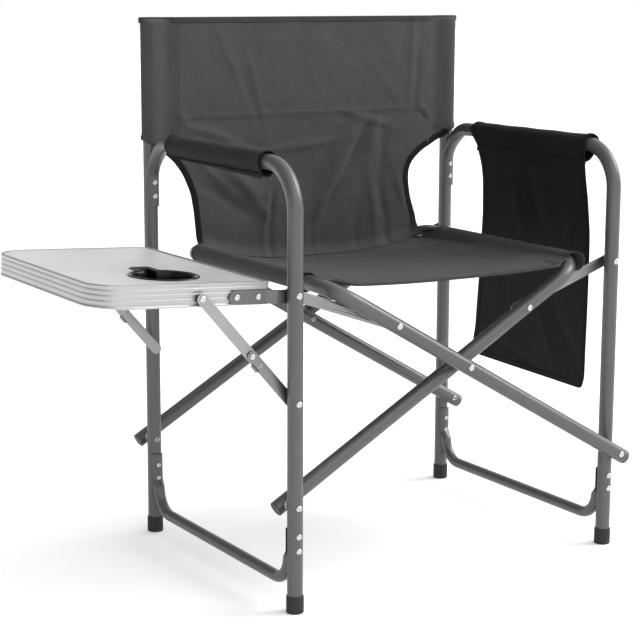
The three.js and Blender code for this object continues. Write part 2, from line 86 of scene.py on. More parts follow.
def ramp(nt, fac, stops):
    r = nt.nodes.new("ShaderNodeValToRGB")
    r.color_ramp.elements[0].position, r.color_ramp.elements[0].color = stops[0][0], (*stops[0][1], 1)
    r.color_ramp.elements[1].position, r.color_ramp.elements[1].color = stops[-1][0], (*stops[-1][1], 1)
    for p, c in stops[1:-1]:
        e = r.color_ramp.elements.new(p); e.color = (*c, 1)
    nt.links.new(fac, r.inputs["Fac"])
    return r.outputs["Color"]

def lin(h):
    h = h.lstrip("#"); c = [int(h[i:i + 2], 16) / 255 for i in (0, 2, 4)]
    return tuple(x / 12.92 if x <= 0.04045 else ((x + 0.055) / 1.055) ** 2.4 for x in c)

def mul(c, k): return tuple(min(1.0, x * k) for x in c)

def coated(name, col, rough=0.42, metal=0.25, grain=900, bump=0.12, var=0.1, coat=0.0):
    """Powder coat or moulded plastic: fine orange peel, faint cloudiness in colour and gloss."""
    m, nt, b = nodes_of(name)
    tc = N(nt, "ShaderNodeTexCoord")
    n1 = N(nt, "ShaderNodeTexNoise", Scale=grain, Detail=3.0, Roughness=0.6)
    n2 = N(nt, "ShaderNodeTexNoise", Scale=14.0, Detail=4.0, Roughness=0.6)
    for n in (n1, n2): nt.links.new(tc.outputs["Object"], n.inputs["Vector"])
    c = lin(col)
    nt.links.new(ramp(nt, n2.outputs["Fac"], [(0.3, mul(c, 1 - var)), (0.7, mul(c, 1 + var))]), b.inputs["Base Color"])
    mr = N(nt, "ShaderNodeMapRange"); mr.inputs["To Min"].default_value = rough - 0.06; mr.inputs["To Max"].default_value = rough + 0.08
    nt.links.new(n2.outputs["Fac"], mr.inputs["Value"]); nt.links.new(mr.outputs["Result"], b.inputs["Roughness"])
    bp = N(nt, "ShaderNodeBump", Strength=bump, Distance=0.0004)
    nt.links.new(n1.outputs["Fac"], bp.inputs["Height"]); nt.links.new(bp.outputs["Normal"], b.inputs["Normal"])
    b.inputs["Metallic"].default_value = metal
    if coat: b.inputs["Coat Weight"].default_value = coat; b.inputs["Coat Roughness"].default_value = 0.25
    return m

def metal(name, col, rough=0.3, stretch=(4, 300, 300), bump=0.05, var=0.08, metallic=1.0):
    """Bare metal with drawn or brushed lines along one direction of the piece."""
    m, nt, b = nodes_of(name)
    tc = N(nt, "ShaderNodeTexCoord"); mp = N(nt, "ShaderNodeMapping")
    mp.inputs["Scale"].default_value = stretch
    nt.links.new(tc.outputs["UV"], mp.inputs["Vector"])
    n1 = N(nt, "ShaderNodeTexNoise", Scale=1.0, Detail=5.0, Roughness=0.65)
    nt.links.new(mp.outputs["Vector"], n1.inputs["Vector"])
    n2 = N(nt, "ShaderNodeTexNoise", Scale=11.0, Detail=3.0)
    nt.links.new(tc.outputs["Object"], n2.inputs["Vector"])
    c = lin(col)
    mx = N(nt, "ShaderNodeMath", operation="ADD"); nt.links.new(n1.outputs["Fac"], mx.inputs[0]); nt.links.new(n2.outputs["Fac"], mx.inputs[1])
    hf = N(nt, "ShaderNodeMath", operation="MULTIPLY"); hf.inputs[1].default_value = 0.5; nt.links.new(mx.outputs[0], hf.inputs[0])
    nt.links.new(ramp(nt, hf.outputs[0], [(0.35, mul(c, 1 - var)), (0.65, mul(c, 1 + var * 0.6))]), b.inputs["Base Color"])
    mr = N(nt, "ShaderNodeMapRange"); mr.inputs["From Min"].default_value = 0.3; mr.inputs["From Max"].default_value = 0.7
    mr.inputs["To Min"].default_value = rough - 0.07; mr.inputs["To Max"].default_value = rough + 0.1
    nt.links.new(n1.outputs["Fac"], mr.inputs["Value"]); nt.links.new(mr.outputs["Result"], b.inputs["Roughness"])
    bp = N(nt, "ShaderNodeBump", Strength=bump, Distance=0.0003)
    nt.links.new(n1.outputs["Fac"], bp.inputs["Height"]); nt.links.new(bp.outputs["Normal"], b.inputs["Normal"])
    b.inputs["Metallic"].default_value = metallic
    return m

def woven(name, col, rough=0.8, sheen=0.25, thread=0.00062, var=0.1, bump=0.35):
    """Plain-weave polyester: threads crossing over and under, in the cloth's own flat coordinates (UV in metres)."""
    m, nt, b = nodes_of(name)
    tc = N(nt, "ShaderNodeTexCoord"); sx = N(nt, "ShaderNodeSeparateXYZ"); nt.links.new(tc.outputs["UV"], sx.inputs[0])
    def op(kind, a, bb=None, clamp=False):
        n = N(nt, "ShaderNodeMath", operation=kind, use_clamp=clamp)
        for i, v in enumerate((a, bb)):
            if v is None: continue
            if isinstance(v, (int, float)): n.inputs[i].default_value = v
            else: nt.links.new(v, n.inputs[i])
        return n.outputs[0]
    k = math.pi / thread
    su, sv = op("SINE", op("MULTIPLY", sx.outputs["X"], k)), op("SINE", op("MULTIPLY", sx.outputs["Y"], k))
    cu, cv = op("ABSOLUTE", su), op("ABSOLUTE", sv)
    over = op("MULTIPLY", op("SINE", op("MULTIPLY", sx.outputs["X"], k / 1.0)), op("SINE", op("MULTIPLY", sx.outputs["Y"], k / 1.0)))
    chk = op("ADD", op("MULTIPLY", over, 2.5), 0.5, True)
    warp, weft = op("MULTIPLY", cu, chk), op("MULTIPLY", cv, op("SUBTRACT", 1.0, chk))
    h = op("ADD", warp, weft)
    n2 = N(nt, "ShaderNodeTexNoise", Scale=9.0, Detail=4.0, Roughness=0.6); nt.links.new(tc.outputs["Object"], n2.inputs["Vector"])
    n3 = N(nt, "ShaderNodeTexNoise", Scale=1.0, Detail=3.0, Roughness=0.7)
    mp = N(nt, "ShaderNodeMapping"); mp.inputs["Scale"].default_value = (18, 420, 1); nt.links.new(tc.outputs["UV"], mp.inputs["Vector"]); nt.links.new(mp.outputs["Vector"], n3.inputs["Vector"])
    f = op("ADD", op("ADD", op("MULTIPLY", h, 0.3), op("MULTIPLY", n2.outputs["Fac"], 0.4)), op("MULTIPLY", n3.outputs["Fac"], 0.3))
    c = lin(col)
    nt.links.new(ramp(nt, f, [(0.25, mul(c, 1 - var * 1.6)), (0.5, c), (0.75, mul(c, 1 + var * 1.6))]), b.inputs["Base Color"])
    bp = N(nt, "ShaderNodeBump", Strength=bump, Distance=0.00025)
    n4 = N(nt, "ShaderNodeTexNoise", Scale=26.0, Detail=5.0, Roughness=0.62, Distortion=0.8); nt.links.new(tc.outputs["UV"], n4.inputs["Vector"])
    bq = N(nt, "ShaderNodeBump", Strength=0.55, Distance=0.0028); nt.links.new(n4.outputs["Fac"], bq.inputs["Height"]); nt.links.new(bq.outputs["Normal"], bp.inputs["Normal"])
    nt.links.new(op("ADD", h, op("MULTIPLY", n3.outputs["Fac"], 0.5)), bp.inputs["Height"]); nt.links.new(bp.outputs["Normal"], b.inputs["Normal"])
    b.inputs["Roughness"].default_value = rough
    b.inputs["Sheen Weight"].default_value = sheen; b.inputs["Sheen Roughness"].default_value = 0.45
    b.inputs["Specular IOR Level"].default_value = 0.16
    return m

M = {
    "frame": coated("powder_coat", "#555657", 0.34, 0.42, 1100, 0.15, 0.05),
    "foot": coated("foot_rubber", "#2c2c2c", 0.6, 0.0, 700, 0.25, 0.1),
    "plug": coated("nylon_grey", "#9a9b9b", 0.5, 0.0, 600, 0.1, 0.05),
    "plug_dark": coated("nylon_dark", "#3c3d3e", 0.55, 0.0, 600, 0.1, 0.05),
    "cup": coated("cup_plastic", "#060606", 0.22, 0.0, 500, 0.04, 0.1, 0.3),
    "alu": metal("table_edge_aluminium", "#aeafb0", 0.4, (3, 900, 1), 0.05),
    "top": metal("table_sheet", "#d0d1d0", 0.46, (10, 220, 1), 0.09, 0.1, 0.55),
    "under": coated("table_underside", "#a9aaa9", 0.6, 0.2, 300, 0.1, 0.06),
    "link": metal("link_aluminium", "#8b8c8d", 0.4, (5, 700, 1), 0.05),
    "steel": metal("zinc_steel", "#9b9c9c", 0.42, (6, 500, 1), 0.08),
    # the same zinc steel made darker for the front lower strut: painted shade
    "steel_lower_shade": metal("zinc_steel_painted_shade", "#828383", 0.42, (6, 500, 1), 0.1),
    "steel_dark": metal("hinge_steel", "#6c6d6d", 0.44, (6, 500, 1), 0.08),
    "rivet": metal("rivet_bright", "#c2c3c3", 0.26, (200, 200, 1), 0.03),
    "canvas": woven("canvas_charcoal", "#414142", 0.86, 0.04),
    # hem canvas: the same canvas made darker, painted shade of the rolled hems
    "hem": woven("canvas_hem_painted_shade", "#343435", 0.86, 0.03),
    "sleeve": woven("arm_canvas", "#1e1e1f", 0.8, 0.03),
    "black": woven("organiser_canvas", "#151516", 0.78, 0.03),
    "bind": woven("binding_tape", "#0d0d0e", 0.75, 0.02, 0.0009, 0.1, 0.5),
    "thread": coated("thread", "#2c2c2d", 0.8, 0.0, 2000, 0.3, 0.1),
    "thread_dark": coated("thread_dark", "#232324", 0.8, 0.0, 2000, 0.3, 0.1),
}

M["cup"].node_tree.nodes["Principled BSDF"].inputs["Specular IOR Level"].default_value = 0.12
M["foot"].node_tree.nodes["Principled BSDF"].inputs["Specular IOR Level"].default_value = 0.2

# ------------------------------------------------------------------ mesh helpers (all points in chair millimetres)
def W(p): return (np.asarray(p, float) + OFF) / 1000.0

TS = np.array([[math.cos(TILT), 0, math.sin(TILT)], [0, 1, 0], [-math.sin(TILT), 0, math.cos(TILT)]])
def T(p):
    """Table's own coordinates (x toward the chair, z up, about its hinge axis) to chair coordinates."""
    return np.asarray(p, float) @ TS.T + np.array([-HW, 0, LINK_Z])

REPL = {}
def make(name, verts, faces, mat, body=None, uv=None, repl=(), slot=None, smooth=True, sharp=35, recalc=True, blend=None):
    me = bpy.data.meshes.new(name)
    me.from_pydata([tuple(v) for v in W(verts)], [], [tuple(int(i) for i in f) for f in faces])
    if uv is not None:
        lay = me.uv_layers.new(name="UVMap")
        uv = np.asarray(uv, float) / 1000.0
        idx = np.zeros(len(me.loops), np.int32); me.loops.foreach_get("vertex_index", idx)
        lay.data.foreach_set("uv", uv[idx].astype(np.float32).ravel())
    me.validate()
    bm = bmesh.new(); bm.from_mesh(me)
    if recalc: bmesh.ops.recalc_face_normals(bm, faces=bm.faces)
    for f in bm.faces: f.smooth = smooth
    if smooth and sharp:
        a = math.radians(sharp)
        for e in bm.edges:
            if len(e.link_faces) == 2 and e.calc_face_angle(0) > a: e.smooth = False
    bm.to_mesh(me); bm.free()
    me.materials.append(M[mat] if isinstance(mat, str) else mat)
    o = bpy.data.objects.new(name, me)
    bpy.context.scene.collection.objects.link(o)
    if repl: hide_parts(*([repl] if isinstance(repl, str) else repl))
    if blend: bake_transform(o)
    elif body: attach(o, body)
    return o

class Mesh:
    """Collects several closed parts into one piece."""
    def __init__(s): s.v, s.f, s.uv = [], [], []
    def add(s, v, f, uv=None):
        n = len(s.v); s.v += [list(p) for p in v]; s.f += [[i + n for i in q] for q in f]
        s.uv += [list(p) for p in (uv if uv is not None else [(p[0], p[2]) for p in v])]
        return s
    def out(s, name, mat, body=None, **k): return make(name, np.array(s.v), s.f, mat, body, uv=s.uv, **k)

def fillet(corners, radii, seg=18):
    V = [np.array(c, float) for c in corners]; out = [V[0]]
    for i in range(1, len(V) - 1):
        a, b = V[i - 1] - V[i], V[i + 1] - V[i]; a /= np.linalg.norm(a); b /= np.linalg.norm(b)
        ang = math.acos(np.clip(a @ b, -1, 1)); r = radii[i - 1]; d = r / math.tan(ang / 2)
        h = a + b; c = V[i] + h / np.linalg.norm(h) * r / math.sin(ang / 2)
        s, e = V[i] + a * d - c, V[i] + b * d - c; sw = math.acos(np.clip(s @ e / r / r, -1, 1))
        for k in range(seg + 1):
            t = k / seg; out.append(c + s * math.sin((1 - t) * sw) / math.sin(sw) + e * math.sin(t * sw) / math.sin(sw))
    out.append(V[-1])
    return np.array(out)

def densify(P, step):
    out = [P[0]]
    for a, b in zip(P[:-1], P[1:]):
        n = max(1, int(np.linalg.norm(b - a) / step))
        for k in range(1, n + 1): out.append(a + (b - a) * k / n)
    return np.array(out)

def sweep(P, normal, section, closed_ends=True, n=None):
    """P path points; normal: constant normal of the path's plane; section(i, s) gives (k,2) points, first along normal, second along tangent x normal."""
    P = np.asarray(P, float); t = np.gradient(P, axis=0)
    for i in range(1, len(P) - 1):
        a, b = P[i] - P[i - 1], P[i + 1] - P[i]
        t[i] = a / np.linalg.norm(a) + b / np.linalg.norm(b)
    t[0], t[-1] = P[1] - P[0], P[-1] - P[-2]
    t /= np.linalg.norm(t, axis=1)[:, None]
    nn = np.asarray(normal, float); nn /= np.linalg.norm(nn)
    s = np.r_[0, np.cumsum(np.linalg.norm(np.diff(P, axis=0), axis=1))]
    v, f, uv = [], [], []
    for i in range(len(P)):
        b = np.cross(t[i], nn); sec = section(i, s[i]); k = len(sec); per = 0
        for j, (x, y) in enumerate(sec):
            if j: per += math.hypot(x - sec[j - 1][0], y - sec[j - 1][1])
            v.append(P[i] + nn * x + b * y); uv.append((s[i], per))
    for i in range(len(P) - 1):
        for j in range(k):
            a, c = i * k + j, i * k + (j + 1) % k
            f.append([a, c, c + k, a + k])
    if closed_ends:
        f.append(list(range(k))[::-1]); f.append([(len(P) - 1) * k + j for j in range(k)])
    return v, f, uv

def circle(r, n=32): return np.array([(r * math.cos(2 * math.pi * j / n), r * math.sin(2 * math.pi * j / n)) for j in range(n)])

def round_tube(P, normal, r, n=32, hollow=(False, False), wall=1.3):
    """Round tube; a hollow end shows its wall and a short bore."""
    c = circle(r, n)
    v, f, uv = sweep(P, normal, lambda i, s: c)
    m = Mesh(); m.add(v, f, uv)
    if not any(hollow): return m
    # cut the closing faces off and run the wall back inside
    f = m.f; k = n; last = (len(P) - 1) * k
    caps = [q for q in f if len(q) == k]
    for q in caps: f.remove(q)
    for end, on in ((0, hollow[0]), (1, hollow[1])):
        ring = list(range(k)) if end == 0 else [last + j for j in range(k)]
        pts = np.array([m.v[j] for j in ring]); ctr = pts.mean(0)
        d = (np.array(P[1]) - np.array(P[0])) if end == 0 else (np.array(P[-2]) - np.array(P[-1])); d /= np.linalg.norm(d)
        if not on:
            f.append(ring); continue
        n0 = len(m.v)
        for q in pts: m.v.append(list(ctr + (q - ctr) * (r - wall) / r)); m.uv.append((0, 0))
        for q in pts: m.v.append(list(ctr + (q - ctr) * (r - wall) / r + d * 14)); m.uv.append((0, 0))
        for j in range(k):
            a, c2 = j, (j + 1) % k
            f.append([ring[a], ring[c2], n0 + c2, n0 + a]); f.append([n0 + a, n0 + c2, n0 + k + c2, n0 + k + a])
        f.append([n0 + k + j for j in range(k)])
    return m

def lathe(profile, origin, axis, n=32):
    """profile: (radius, along axis); starts and ends on the axis."""
    ax = np.asarray(axis, float); ax /= np.linalg.norm(ax)
    ref = np.array([0, 0, 1.0]) if abs(ax[2]) < 0.9 else np.array([1.0, 0, 0])
    e1 = np.cross(ax, ref); e1 /= np.linalg.norm(e1); e2 = np.cross(ax, e1)
    o = np.asarray(origin, float); v, f, uv, rows = [], [], [], []; d = 0; prev = None
    for r, h in profile:
        if prev: d += math.hypot(r - prev[0], h - prev[1])
        prev = (r, h)
        if r < 1e-6: rows.append([len(v)]); v.append(o + ax * h); uv.append((0, d)); continue
        row = []
        for j in range(n):
            a = 2 * math.pi * j / n; row.append(len(v)); v.append(o + ax * h + r * (math.cos(a) * e1 + math.sin(a) * e2)); uv.append((a * 3, d))
        rows.append(row)
    for a, b in zip(rows[:-1], rows[1:]):
        for j in range(n):
            k = (j + 1) % n
            if len(a) == 1 and len(b) == 1: continue
            if len(a) == 1: f.append([a[0], b[k], b[j]])
            elif len(b) == 1: f.append([a[j], a[k], b[0]])
            else: f.append([a[j], a[k], b[k], b[j]])
    return v, f, uv

def dome(r=4.6, h=2.4, up=0.0):
    """Button head standing on height 'up', closed below."""
    p = [(0, up)] + [(r, up)] + [(r, up + 0.35)]
    for k in range(1, 8):
        a = math.pi / 2 * k / 8; p.append((r * math.cos(a) ** 0.9, up + 0.35 + (h - 0.35) * math.sin(a)))
    return p + [(0, up + h)]

def ringhead(r=3.9, ri=1.9, h=1.5, up=0.0):
    """Peened end of a tubular rivet: a rolled ring with a hole."""
    p = [(0, up), (r - 0.2, up)]
    mid, w = (r + ri) / 2, (r - ri) / 2
    for k in range(0, 9):
        a = math.pi * k / 8; p.append((mid + w * math.cos(a), up + 0.15 + (h - 0.15) * math.sin(a)))
    return p + [(ri, up - 0.4 + 0.3), (0, up + 0.05)]

def rivet_piece(name, x, z, y_dome, y_ring, body, repl, sgn=-1, rd=4.6, ring=True, slot="rivet_steel"):
    """Rivet along y. sgn -1: head faces -y."""
    m = Mesh()
    m.add(*lathe(dome(rd), (x, y_dome, z), (0, sgn, 0)))
    if ring: m.add(*lathe(ringhead(), (x, y_ring, z), (0, -sgn, 0)))
    a, b = sorted((y_dome, y_ring))
    m.add(*lathe([(0, 0), (2.4, 0), (2.4, b - a), (0, b - a)], (x, a, z), (0, 1, 0), 16))
    return m.out(name, "rivet", body, repl=repl, slot=slot, sharp=50)

def bar_outline(ax, az, bx, bz, w, over0, over1, k=12):
    d = math.hypot(bx - ax, bz - az); ux, uz = (bx - ax) / d, (bz - az) / d; L = []
    for i in range(k + 1):
        t = -math.pi / 2 + math.pi * i / k; L.append((d + over1 - w / 2 + w / 2 * math.cos(t), w / 2 * math.sin(t)))
    for i in range(k + 1):
        t = math.pi / 2 + math.pi * i / k; L.append((-(over0 - w / 2) + w / 2 * math.cos(t), w / 2 * math.sin(t)))
    return [(ax + s * ux - t * uz, az + s * uz + t * ux) for s, t in L], L

def plate(m, pts, y0, y1, bev=0.5, uvs=None):
    """Flat plate in x-z between y0 and y1 with softened edges; pts convex-ish, counter-clockwise."""
    P = np.array(pts); c = P.mean(0); n = len(P)
    e = np.roll(P, -1, 0) - np.roll(P, 1, 0); nrm = np.c_[e[:, 1], -e[:, 0]]; nrm /= np.linalg.norm(nrm, axis=1)[:, None] + 1e-9
    if ((P - c) * nrm).sum() < 0: nrm = -nrm
    I = P - nrm * bev
    rows = [(I, y0), (P - nrm * bev * 0.3, y0 + bev * 0.3), (P, y0 + bev), (P, y1 - bev), (P - nrm * bev * 0.3, y1 - bev * 0.3), (I, y1)]
    v, f, uv = [], [], []
    U = np.array(uvs) if uvs is not None else P
    for q, y in rows:
        for (x, z), u in zip(q, U): v.append((x, y, z)); uv.append((u[0], u[1]))
    for r in range(len(rows) - 1):
        for j in range(n):
            k = (j + 1) % n; f.append([r * n + j, r * n + k, (r + 1) * n + k, (r + 1) * n + j])
    f.append(list(range(n))[::-1]); f.append([(len(rows) - 1) * n + j for j in range(n)])
    m.add(v, f, uv); return m

# ------------------------------------------------------------------ side frames
def crimp_tube(P, normal, r, post, sgn_y, z_end, z0, up=True, n=36, wall_t=3.3, span=1.12, gap=0.35):
    """Round tube whose end near z_end is flattened and wrapped round a post standing at post=(x, y). The argument z_end
    is not used.
    sgn_y: side of the post the tube lies on. The flattening blends in between z0 and z0 -/+ 26 mm."""
    c = circle(r, n); v, f, uv = sweep(P, normal, lambda i, s: c)
    v = np.array(v); px, py = post
    near = np.abs(v[:, 1] - py) < 60
    if up: k = np.clip((z0 - v[:, 2]) / 26.0, 0, 1)
    else: k = np.clip((z0 - v[:, 2]) / 26.0, 0, 1)
    kx = np.clip((z0 + 9 - v[:, 2]) / 22.0, 0, 1); kx = kx * kx * (3 - 2 * kx) * near
    k = np.clip((z0 + 6 - v[:, 2]) / 38.0, 0, 1); k = k * k * (3 - 2 * k) * near
    cy = py + sgn_y * 19.0 if r > 10 else py + sgn_y * STR_NEST
    a = (v[:, 0] - px) / r; b = (v[:, 1] - cy) * sgn_y / r          # b +1 away from the post
    depth = np.sqrt(np.clip(1 - a * a, 0, 1))
    phi = np.arcsin(np.clip(a, -1, 1)) / (math.pi / 2) * span
    rad = TR + gap + wall_t * 0.5 + b * wall_t * 0.5
    tx, ty = px + rad * np.sin(phi), py + sgn_y * rad * np.cos(phi)
    v[:, 0] = v[:, 0] * (1 - kx) + tx * kx; v[:, 1] = v[:, 1] * (1 - k) + ty * k
    # everything stays off the post even where the blend is partial
    dx, dy = v[:, 0] - px, v[:, 1] - py; d = np.hypot(dx, dy); low = near & (d < TR + 0.3)
    sc = np.where(low, (TR + 0.3) / np.maximum(d, 1e-6), 1.0)
    v[:, 0] = px + dx * sc; v[:, 1] = py + dy * sc
    m = Mesh(); m.add(v, f, uv); return m

for sd, L in ((-1, True), (1, False)):
    s = "left" if L else "right"; x = sd * HW; yf, yr = (YFL, YRL) if L else (YFR, YRR); body = s + "_side"
    P = fillet([(x, yf, 4), (x, yf, ARM_Z), (x, yr - NEST, ARM_Z), (x, yr - NEST, ARM_END)], [ARM_R, ARM_RR])
    P = np.vstack([P[:-1], densify(P[-2:], 3.0)[1:]])
    crimp_tube(P, (1, 0, 0), TR, (x, yr), -1, ARM_END, 597).out(s + "_leg_arm", "frame", body, repl=s + "_leg_arm_tube", slot="frame_tube", sharp=60)
    round_tube([(x, yr, 4), (x, yr, POST_TOP)], (1, 0, 0), TR, 36).out(s + "_post", "frame", body, repl=s + "_rear_post", slot="frame_tube", sharp=60)
    Q = fillet([(x, yf + STR_NEST, 120), (x, yf + STR_NEST, STR_Z), (x, yr - STR_NEST, STR_Z), (x, yr - STR_NEST, 128)], [STR_BEND, STR_BEND])
    Q = np.vstack([densify(Q[:2], 3.0), Q[2:-1], densify(Q[-2:], 3.0)[1:]])
    # both ends of the stretcher are flattened round the leg and the post
    c = circle(SR, 28); v, f, uv = sweep(Q, (1, 0, 0), lambda i, q: c); v = np.array(v)
    for py, sg in ((yf, 1), (yr, -1)):
        near = np.abs(v[:, 1] - py) < 28; k = np.clip((v[:, 2] - 74) / 16.0, 0, 1); k = k * k * (3 - 2 * k) * near
        a = (v[:, 0] - x) / SR; b = (v[:, 1] - (py + sg * STR_NEST)) * sg / SR
        phi = np.arcsin(np.clip(a, -1, 1)) / (math.pi / 2) * 1.0; rad = TR + 0.35 + 1.6 + b * 1.6
        v[:, 0] = v[:, 0] * (1 - k) + (x + rad * np.sin(phi)) * k; v[:, 1] = v[:, 1] * (1 - k) + (py + sg * rad * np.cos(phi)) * k
        dx, dy = v[:, 0] - x, v[:, 1] - py; d = np.hypot(dx, dy); low = near & (d < TR + 0.3)
        sc = np.where(low, (TR + 0.3) / np.maximum(d, 1e-6), 1.0); v[:, 0] = x + dx * sc; v[:, 1] = py + dy * sc
    Mesh().add(v, f, uv).out(s + "_stretcher_tube", "frame", body, repl=s + "_stretcher", slot="frame_tube", sharp=60)
    for yy, nn in ((yf, "front"), (yr, "rear")):
        p = [(0, 0), (10.6, 0), (11.9, 0.5), (12.4, 1.6), (12.5, 4), (12.3, 5), (12.3, 6.2), (12.5, 7), (12.35, 22), (12.2, 24.2), (11.8, 25), (11.15, 25), (11.1, 6), (0, 6)]
        m = Mesh().add(*lathe(p, (x, yy, 0), (0, 0, 1), 40)); m.out(f"foot_{nn}_{s}", "foot", body, repl=f"foot_cap_{nn}_{s}", slot="foot_plastic", sharp=40)
    # rivets of the flattened ends: rings face forward on the rear post, domes face the front on the leg
    m = Mesh()
    for z in (557.5, 536.3):
        m.add(*lathe(ringhead(3.7, 1.7, 1.5), (x, yr - TR - 3.62 - 0.3, z), (0, -1, 0))); m.add(*lathe(dome(4.3, 2.2), (x, yr + TR - 0.1, z), (0, 1, 0)))
    for z in (110.8, 90.2):
        m.add(*lathe(ringhead(3.5, 1.6, 1.4), (x, yr - TR - 3.85, z), (0, -1, 0))); m.add(*lathe(dome(4.3, 2.2), (x, yr + TR - 0.1, z), (0, 1, 0)))
        m.add(*lathe(dome(4.3, 2.2), (x, yf - TR + 0.1, z), (0, -1, 0))); m.add(*lathe(ringhead(3.5, 1.6, 1.4), (x, yf + TR + 3.85, z), (0, 1, 0)))
    m.out(s + "_frame_rivets", "rivet", body, slot="rivet_steel", sharp=50)
    # black plug closes the post's top, under the cloth
    Mesh().add(*lathe([(0, POST_TOP - 8), (9.6, POST_TOP - 8), (9.6, POST_TOP), (11, POST_TOP), (11, POST_TOP + 1.2), (9.5, POST_TOP + 2.2), (0, POST_TOP + 2.4)], (x, yr, 0), (0, 0, 1))).out(s + "_post_plug", "foot", body, slot="foot_plastic")

# ------------------------------------------------------------------ cross tubes
ct, st = math.cos(SLOPE), math.sin(SLOPE)
def cross(side, yf, yr, name, body, repl):
    lx, lz, rx = -side * (HW + END_OVER * ct), PIV_Z - END_OVER * st, side * RAIL_X
    P = fillet([(lx, yf, lz), (rx, yf, RAIL_Z), (rx, yr, RAIL_Z), (lx, yr, lz)], [BEND_R, BEND_R], 22)
    nrm = np.cross(np.array([side * ct, 0, st]), np.array([0, 1.0, 0]))
    round_tube(P, nrm, TR, 36, (True, True)).out(name, "frame", body, repl=repl, slot="frame_tube", sharp=60)
    for y, n in ((yf, "front"), (yr, "rear")):
        d = np.array([-side * ct, 0, -st]); o = np.array([-side * HW, y, PIV_Z]) + d * END_OVER
        p = [(0, -8), (9.5, -8), (9.5, 0.05), (10.9, 0.15), (10.9, 1.2), (10.3, 1.8), (8.2, 1.8), (7.8, 1.2), (0, 1.1)]
        sname = "right" if side < 0 else "left"
        Mesh().add(*lathe(p, o, d, 36)).out(f"tube_plug_{n}_{sname}", "plug_dark", body, repl=f"end_plug_{n}_{sname}", slot="spacer_plastic")
cross(-1, U1F, U1R, "cross_tube_a", "cross_left", "cross_tube_left_rail")
cross(1, U2F, U2R, "cross_tube_b", "cross_right", "cross_tube_right_rail")

# ------------------------------------------------------------------ pivots, spacers, links
def spacer(name, x, z, y0, y1, body, repl, mat="plug"):
    h = y1 - y0; p = [(0, 0), (7.4, 0), (8, 0.6), (8, h - 0.6), (7.4, h), (0, h)]
    Mesh().add(*lathe(p, (x, y0, z), (0, 1, 0), 32)).out(name, mat, body, repl=repl, slot="spacer_plastic")
g = 0.25
spacer("spacer_fl", -HW, PIV_Z, YFL + TR + g, U2F - TR - g, "left_side", "pivot_spacer_front_left")
spacer("spacer_rl", -HW, PIV_Z, YRL + TR + g, U2R - TR - g, "left_side", "pivot_spacer_rear_left")
spacer("spacer_fr", HW, PIV_Z, U1F + TR + g, YFR - TR - g, "right_side", "pivot_spacer_front_right")
spacer("spacer_rr", HW, PIV_Z, U1R + TR + g, YRR - TR - g, "right_side", "pivot_spacer_rear_right")
spacer("spacer_cf", 0, CEN_Z, U1F + TR + g, U2F - TR - g, "cross_right", "center_spacer_front")
spacer("spacer_cr", 0, CEN_Z, U1R + TR + g, U2R - TR - g, "cross_right", "center_spacer_rear")
rivet_piece("rivet_pivot_fl", -HW, PIV_Z, YFL - TR + 0.2, U2F + TR - 0.2, "left_side", "pivot_rivet_front_left")
rivet_piece("rivet_pivot_rl", -HW, PIV_Z, U2R + TR - 0.2, YRL - TR + 0.2, "left_side", "pivot_rivet_rear_left", sgn=1)
rivet_piece("rivet_pivot_fr", HW, PIV_Z, U1F - TR + 0.2, YFR + TR - 0.2, "right_side", "pivot_rivet_front_right")
rivet_piece("rivet_pivot_rr", HW, PIV_Z, YRR + TR - 0.2, U1R - TR + 0.2, "right_side", "pivot_rivet_rear_right", sgn=1)
rivet_piece("rivet_center_f", 0, CEN_Z, U1F - TR + 0.2, U2F + TR - 0.2, "cross_right", "center_rivet_front")
rivet_piece("rivet_center_r", 0, CEN_Z, U2R + TR - 0.2, U1R - TR + 0.2, "cross_right", "center_rivet_rear", sgn=1)

LW, LT = 16.0, 2.7
lkFL, lkRL, lkFR, lkRR = YFL + TR + 2.8, YRL + TR + 0.6, U2F + TR + 1.2, U2R + TR + 1.2
def link(name, side, y, body, repl):
    m = Mesh(); a = (side * HW, LINK_Z, side * LINK_X, LINK_PZ)
    pts, L = bar_outline(*a, LW, 9, 16); plate(m, pts, y, y + LT, 0.45, L)
    d = math.hypot(a[2] - a[0], a[3] - a[1]); ux, uz = (a[2] - a[0]) / d, (a[3] - a[1]) / d
    for off in (-3.6, 3.6):                    # two pressed ribs along the strip, both faces
        b = (a[0] + ux * 16 - uz * off, a[1] + uz * 16 + ux * off, a[0] + ux * (d - 14) - uz * off, a[1] + uz * (d - 14) + ux * off)
        q, Lq = bar_outline(*b, 3.0, 3, 3, 6)
        plate(m, q, y - 0.45, y + LT + 0.45, 0.4, Lq)
    m.out(name, "link", body, repl=repl, slot="link_aluminium")
link("link_fl", -1, lkFL, "left_links", "link_front_left"); link("link_rl", -1, lkRL, "left_links", "link_rear_left")
link("link_fr", 1, lkFR, "right_links", "link_front_right"); link("link_rr", 1, lkRR, "right_links", "link_rear_right")
rivet_piece("pin_link_fl", -HW, LINK_Z, YFL - TR + 0.2, lkFL + LT, "left_side", "link_pin_front_left")
rivet_piece("pin_link_rl", -HW, LINK_Z, lkRL + LT, YRL - TR - 2.5, "left_side", "link_pin_rear_left", sgn=1)
rivet_piece("pin_link_fr", HW, LINK_Z, YFR - TR + 0.2, lkFR + LT, "right_side", "link_pin_front_right")
rivet_piece("pin_link_rr", HW, LINK_Z, lkRR + LT, YRR - TR + 0.2, "right_side", "link_pin_rear_right", sgn=1)
rivet_piece("rivet_link_fl", -LINK_X, LINK_PZ, U1F - TR + 0.2, U1F + TR, "cross_left", "link_rivet_front_left", ring=False)
rivet_piece("rivet_link_rl", -LINK_X, LINK_PZ, U1R + TR, U1R - TR + 0.2, "cross_left", "link_rivet_rear_left", sgn=1, rd=3.0)
rivet_piece("rivet_link_fr", LINK_X, LINK_PZ, U2F - TR + 0.2, U2F + TR, "cross_right", "link_rivet_front_right", ring=False)
